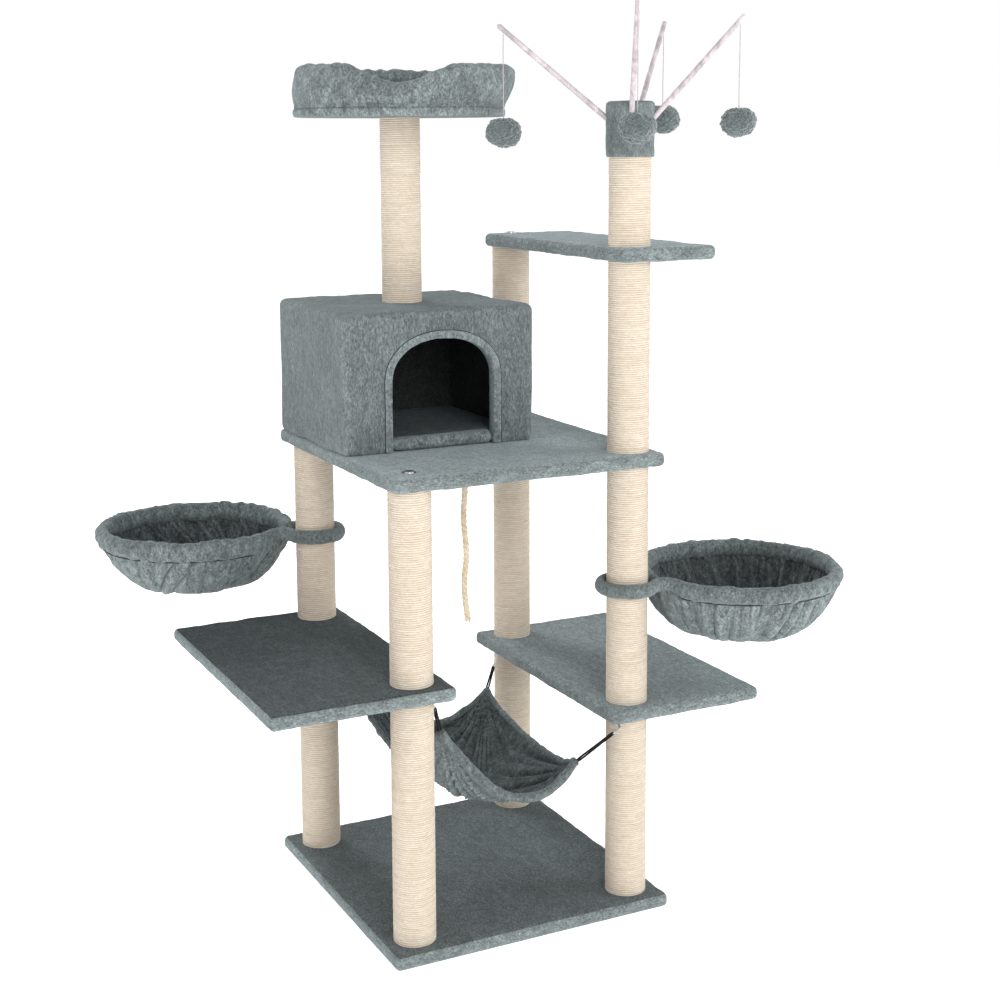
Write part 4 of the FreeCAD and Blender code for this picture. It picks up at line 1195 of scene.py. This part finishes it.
def basket_bowl(side):
    """The hanging bowl: a plush sheet gathered into the band, settled under its own weight."""
    facts = BASKETS[side]
    hoop, deep, seed = facts["hoop"], facts["deep"], facts["seed"]
    angle = np.linspace(0, 2 * math.pi, BOWL_TURNS, endpoint=False)
    slim = slimness(angle)
    share = np.linspace(0.02, 1, 40)[:, None]
    seam_depth = 0.5 * (facts["band_drop"] + facts["band_half"]) * slim
    last_fall = np.arccos(seam_depth / deep)
    fall = share * last_fall
    swirl = facts["slant"] * (1 - share)
    broad = gathers(angle + swirl, facts["folds"], seed + 5, 0.5, 1.5)
    fine = gathers(angle + swirl * 0.4, 29, seed + 7, 0.8, 1.2)
    reach = np.sin(np.pi * np.clip(share * 0.9 + 0.05, 0, 1)) ** 0.5
    push = facts["fold_size"] * broad * reach * ramp(share, 0.1, 0.5)
    push = push + 0.0034 * fine * ramp(share, 0.35, 1.0)
    full = (np.sin(fall) / np.sin(last_fall)) ** BOWL_FULLNESS
    radius = (hoop - 0.0005) * full + push * np.sin(fall)
    height = -BOWL_DROOP * deep * np.cos(fall) - push * np.cos(fall) * 0.6
    points = about_hoop(facts, radius, angle, height)
    rows = len(points)
    centre = points[0].mean(0)[None]
    places = turned(np.vstack([points.reshape(-1, 3), centre]), side)
    name = f"{side}_basket_cloth"
    item = new_piece(name, places, ring_faces(rows, BOWL_TURNS, 1), None, None)
    held = np.arange(len(places)) >= (rows - HELD_RINGS) * BOWL_TURNS
    held[-1] = False
    drape(item, held, grow=0.05, gravity=0.25, cap=0.006)
    settled = places_of(item)
    smooth = finer(settled[:-1].reshape(rows, BOWL_TURNS, 3), (False, True))
    bpy.data.objects.remove(item)
    item = new_piece(name, np.vstack([smooth.reshape(-1, 3), settled[-1:]]),
                     ring_faces(*smooth.shape[:2], 1), None, None)
    thicken(item, BOWL_THICK)
    relief(item, (0.0008, 0.02, seed + 9), (0.0004, 0.006, seed + 10))
    finish_piece(item, SOFT_PLUSH, f"{side}_basket", [f"{side}_basket_bowl"])
    # The bowl's inside faces get the darker copy, painted shade.
    line_inside(item, SHADED_PLUSH, turned(np.array([facts["reach"], 0, 0.02]), side))
    return item


for basket_side in BASKETS:
    basket_sleeve(basket_side)
    basket_band(basket_side)
    basket_seam(basket_side)
    basket_bowl(basket_side)


# ---------------------------------------------------------------- hammock
# Where the sheet's corners hang, and the screw eyes above them.
CORNERS = {
    "front_left": (-0.160, -0.222, 0.395), "front_right": (0.115, -0.230, 0.293),
    "back_left": (-0.150, 0.195, 0.371), "back_right": (0.136, 0.188, 0.301),
}
EYES = {
    "front_left": (-0.176, -0.226, 0.476), "front_right": (0.186, -0.268, 0.376),
    "back_left": (-0.176, 0.202, 0.476), "back_right": (0.166, 0.206, 0.376),
}
CLOTH_THICK = 0.005
HAMMOCK_POINTS = 84
END_SAG = 0.107
WEST_SAG = 0.100
EAST_SAG = 0.033
BELLY_SAG = 0.190
EYE_DROP = 0.0151


def hammock_pole(across, along):
    """One of the 4 by 4 points that steer the sagging sheet."""
    corner = {name: np.array(place) for name, place in CORNERS.items()}
    share, way = across / 3, along / 3
    front = corner["front_left"] * (1 - share) + corner["front_right"] * share
    back = corner["back_left"] * (1 - share) + corner["back_right"] * share
    ends = (0, END_SAG, END_SAG, 0)
    middles = (WEST_SAG, BELLY_SAG, BELLY_SAG, EAST_SAG)
    drop = (middles if along in (1, 2) else ends)[across]
    return front * (1 - way) + back * way - np.array([0, 0, drop])


def hammock_surface(u, v):
    """The sagging sheet's middle surface: u from left to right, v from front to back."""
    weights = [np.stack([(1 - t) ** 3, 3 * t * (1 - t) ** 2, 3 * t * t * (1 - t), t ** 3], -1)
               for t in (u, v)]
    total = 0
    for across, along in np.ndindex(4, 4):
        weight = weights[0][..., across] * weights[1][..., along]
        total = total + weight[..., None] * hammock_pole(across, along)
    return total + np.array([0, 0, CLOTH_THICK / 2])


def hammock_cloth():
    """The hammock's plush sheet: tension folds from its corners, settled, with rolled edges."""
    count = HAMMOCK_POINTS
    u, v = np.meshgrid(np.linspace(0, 1, count), np.linspace(0, 1, count), indexing="ij")
    item = new_piece("hammock_sheet", hammock_surface(u, v), lattice(count, count)[:, ::-1],
                     None, None)
    places, normals = places_of(item), normals_of(item)
    u, v = u.ravel(), v.ravel()
    push = np.zeros(len(u))
    fans = ((0, 0, 5, 71), (1, 0, 4, 72), (0, 1, 5, 73), (1, 1, 4, 74))
    for corner_u, corner_v, folds, seed in fans:
        away = np.hypot(u - corner_u, v - corner_v)
        sweep = np.arctan2(np.abs(v - corner_v) + 1e-6, np.abs(u - corner_u) + 1e-6)
        spread = gathers(sweep * 4, folds, seed, 0.7, 0.5)
        push += 0.0100 * spread * ramp(away, 0.02, 0.20) * ramp(away, 0.75, 0.35)
    set_places(item, places + normals * push[:, None])
    from_corner = np.minimum.reduce([np.hypot(u - a, v - b) for a in (0, 1) for b in (0, 1)])
    drape(item, from_corner < 0.035, grow=0.045, cap=0.014)
    settled = finer(places_of(item).reshape(count, count, 3))
    bpy.data.objects.remove(item)
    item = new_piece("hammock_sheet", settled, lattice(*settled.shape[:2])[:, ::-1], None, None)
    thicken(item, CLOTH_THICK - 0.001)
    relief(item, (0.0008, 0.02, 71), (0.0004, 0.007, 72))
    finish_piece(item, SOFT_PLUSH, "hammock", ["hammock_cloth"])
    # The sheet's top faces get the darker copy, painted shade.
    line_inside(item, SHADED_PLUSH, hammock_surface(np.array(0.5), np.array(0.5)) + (0, 0, 0.4))
    edges = ((settled[0], 0.0055), (settled[-1], 0.0060), (settled[:, 0], 0.0080),
             (settled[:, -1], 0.0060))
    for number, (edge, roll) in enumerate(edges, start=1):
        line = evenly(edge, 0.003)
        hem = new_piece(f"hammock_hem_{number}", *tube(line, roll, 16), TRIM_PLUSH, "hammock",
                        "plush_trim")
        relief(hem, (0.0018, 0.016, 90 + number), (0.0010, 0.006, 95 + number))
    return item


hammock_cloth()


def wire_piece(name, route, radius, material, body, slot, stands_for=(), sides=8):
    """A round wire or cord along a smooth line through a few points."""
    line = evenly(spline_line(name + "_line", route), 0.0008)
    points, faces = tube(line, radius, sides, up=(0.31, 0.17, 0.94))
    return new_piece(name, points, faces, material, body, slot, stands_for)


HOOK_LONG = 0.016
HOOK_WIRE = 0.0013
KNOT_STRAND = 0.0016
ELASTIC_STRAND = 0.0019
# The S-hook's wire at its foot and at the eye: (up the rope, across it).
HOOK_FOOT = ((0.0045, 0.0022), (0.0010, 0.0022), (-0.0002, 0.0), (0.0014, -0.0020),
             (0.0052, -0.0018), (0.0086, 0.0))
HOOK_HEAD = ((-0.0036, 0.0020), (-0.0002, 0.0023), (0.0017, 0.0), (0.0005, -0.0021),
             (-0.0030, -0.0019))
# The knot's strand: (up the rope, across it).
KNOT = ((-0.0065, 0.003), (-0.003, -0.004), (0.001, 0.004), (0.003, -0.003))


def hammock_ropes(number, name):
    """One corner's doubled elastic loop, the knot that holds it in the sheet, and its steel hook."""
    corner = np.array(CORNERS[name]) + (0, 0, CLOTH_THICK / 2)
    eye = np.array(EYES[name]) - (0, 0, EYE_DROP)
    way = unit(eye - corner)
    side = unit(np.cross(way, (0.2, 0.9, 0.1)))
    hook_foot = eye - way * HOOK_LONG
    start = corner - way * 0.006
    reach = np.linalg.norm(hook_foot - start)
    route = [start + side * 0.0004]
    for share, spread in ((0.12, 0.0026), (0.4, 0.0021), (0.75, 0.0018), (0.97, 0.0022)):
        route.append(start + way * reach * share + side * spread)
    route.append(hook_foot + way * 0.0030)
    for share, spread in ((0.97, -0.0022), (0.75, -0.0016), (0.4, -0.0023), (0.12, -0.0026)):
        route.append(start + way * reach * share + side * spread)
    route.append(start - side * 0.0004)
    loop = wire_piece(f"elastic_{name}", route, ELASTIC_STRAND, ELASTIC, None, "elastic",
                      ["hammock_elastics"] if number == 0 else ())
    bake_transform(loop)
    knot_line = [corner + way * along + side * across for along, across in KNOT]
    wire_piece(f"elastic_knot_{name}", knot_line, KNOT_STRAND, ELASTIC, "hammock", "elastic")
    face = np.cross(way, side)
    hook = [hook_foot + way * along + face * across for along, across in HOOK_FOOT]
    hook += [eye + way * along + face * across for along, across in HOOK_HEAD]
    wire_piece(f"hook_{name}", hook, HOOK_WIRE, STEEL, TOWER, "steel",
               ["hammock_hooks"] if number == 0 else (), sides=10)


for corner_number, corner_name in enumerate(CORNERS):
    hammock_ropes(corner_number, corner_name)


# ---------------------------------------------------------------- toy head
block_low, block_high = extent("toy_block_cover")


def toy_cap():
    """The plush cap over the toy head's block: rounded top, gathered hem at the bottom."""
    radius, tall = (block_high[0] - block_low[0]) / 2, block_high[2] - block_low[2]
    centre = (block_low + block_high) / 2
    turns = 160
    angle = np.linspace(0, 2 * math.pi, turns, endpoint=False)
    profile = [(radius - 0.004, 0.0), (radius - 0.0014, 0.0004), (radius - 0.0004, 0.002),
               (radius, 0.005)]
    profile += [(radius, level) for level in np.linspace(0.009, tall - 0.016, 18)]
    profile += [(radius - 0.008 + 0.008 * math.cos(turn), tall - 0.008 + 0.008 * math.sin(turn))
                for turn in np.linspace(0.1, 0.5, 9) * math.pi]
    profile += [((radius - 0.008) * (1 - share), tall + 0.0006 * share)
                for share in np.linspace(0.1, 0.97, 10)]
    profile = np.array(profile)
    points = np.stack([centre[0] + profile[:, :1] * np.cos(angle),
                       centre[1] + profile[:, :1] * np.sin(angle),
                       np.broadcast_to(block_low[2] + profile[:, 1:], (len(profile), turns))], -1)
    centres = np.array([points[0].mean(0), points[-1].mean(0)])
    item = new_piece("toy_cap_plush", np.vstack([points.reshape(-1, 3), centres]),
                     ring_faces(len(points), turns), WALL_PLUSH, TOWER, "plush", ["toy_block_cover"])
    relief(item, (0.0008, 0.02, 81), (0.0004, 0.007, 82))
    return item


STICK_ROOT = 0.010
STICK_DIAMETERS = (0.0100, 0.0086)
# Each stick's bearing in degrees, the height where it leaves the block, its tip's reach from the
# block's axis, and its tip's height.
STICK_WAYS = {
    1: (152.75, 1.484, 0.236, 1.647), 2: (-27.25, 1.485, 0.202, 1.663),
    3: (-117.8, 1.494, 0.205, 1.690), 4: (40.1, 1.490, 0.200, 1.664),
}


def toy_stick(number):
    """A stick in a sewn sleeve: slightly tapered, rounded at the tip, starting a little inside the block.
    """
    turn, leave_level, reach, tip_level = STICK_WAYS[number]
    axis = (block_low + block_high)[:2] / 2
    leave = bearing(turn, (block_high[0] - block_low[0]) / 2, leave_level) + (*axis, 0)
    tip = bearing(turn, reach, tip_level) + (*axis, 0)
    way = unit(tip - leave)
    root = leave - way * STICK_ROOT
    shares = np.linspace(0, 1, 110)
    line = root + (tip - root) * shares[:, None]
    first, last = STICK_DIAMETERS
    radius = (first + (last - first) * shares) / 2
    left = np.linalg.norm(tip - root) * (1 - shares)
    radius = radius * np.sqrt(1 - np.clip(1 - (left + 0.0003) / 0.0038, 0, 1) ** 2)
    points, faces = tube(line, radius, 16)
    item = new_piece(f"toy_stick_{number}", points, faces, STICK, TOWER, "white_plastic",
                     ["toy_sticks"] if number == 1 else ())
    relief(item, (0.00025, 0.02, 100 + number), (0.00015, 0.006, 104 + number))
    return item


toy_cap()
for stick_number in STICK_WAYS:
    toy_stick(stick_number)

# ---------------------------------------------------------------- CAD pieces that stay
for subpart in frame["record"]["subparts"]:
    if subpart["material_slot"] in BY_SLOT:
        shown = NODES[subpart["node"]]
        shown.data.materials.clear()
        shown.data.materials.append(BY_SLOT[subpart["material_slot"]])


# ---------------------------------------------------------------- floor and light
WORLD_LIGHT = 0.62
FLOOR_GLOW = 0.78


def soft_light(name, place, target, size, power):
    """A round studio light that faces a target."""
    light = bpy.data.lights.new(name, "AREA")
    light.shape = "DISK"
    light.size = size
    light.energy = power
    item = add_object(name, light)
    item.location = place
    item.rotation_euler = (Vector(target) - Vector(place)).to_track_quat("-Z", "Y").to_euler()


def pale_floor():
    """A white studio floor that carries on to the horizon."""
    maker = bmesh.new()
    bmesh.ops.create_circle(maker, cap_ends=True, segments=96, radius=60.0)
    item = object_from(maker, "floor")
    make = Nodes("floor_paint")
    place = make.add("TexCoord").outputs["Object"]
    item.data.materials.append(make.finish(
        make.ramp(make.noise(place, 3.0), (0.3, (0.86,) * 3), (0.7, (0.88,) * 3)), None, 0.8,
        Emission_Color=(1.0, 1.0, 1.0, 1.0), Emission_Strength=FLOOR_GLOW))


def studio_world():
    """White behind the object, and a weaker even light on it."""
    world = bpy.data.worlds.new("studio")
    bpy.context.scene.world = world
    world.use_nodes = True
    tree = world.node_tree
    seen = tree.nodes["Background"]
    seen.inputs["Strength"].default_value = 1.0
    seen.inputs["Color"].default_value = (1.0, 1.0, 1.0, 1.0)
    lit = tree.nodes.new("ShaderNodeBackground")
    lit.inputs["Strength"].default_value = WORLD_LIGHT
    path = tree.nodes.new("ShaderNodeLightPath")
    mixed = tree.nodes.new("ShaderNodeMixShader")
    tree.links.new(path.outputs["Is Camera Ray"], mixed.inputs[0])
    tree.links.new(lit.outputs[0], mixed.inputs[1])
    tree.links.new(seen.outputs[0], mixed.inputs[2])
    tree.links.new(mixed.outputs[0], tree.nodes["World Output"].inputs["Surface"])


pale_floor()
studio_world()
soft_light("front", (-0.6, -4.4, 2.3), (0, 0, 0.9), 2.8, 96)
soft_light("right", (3.6, -1.8, 2.2), (0, 0, 0.9), 2.2, 50)
soft_light("left", (-3.6, -0.6, 2.4), (0, 0, 0.8), 2.2, 28)
soft_light("back", (-0.6, 3.8, 3.4), (0, 0, 0.9), 2.4, 100)
bpy.context.scene.view_settings.view_transform = "Standard"
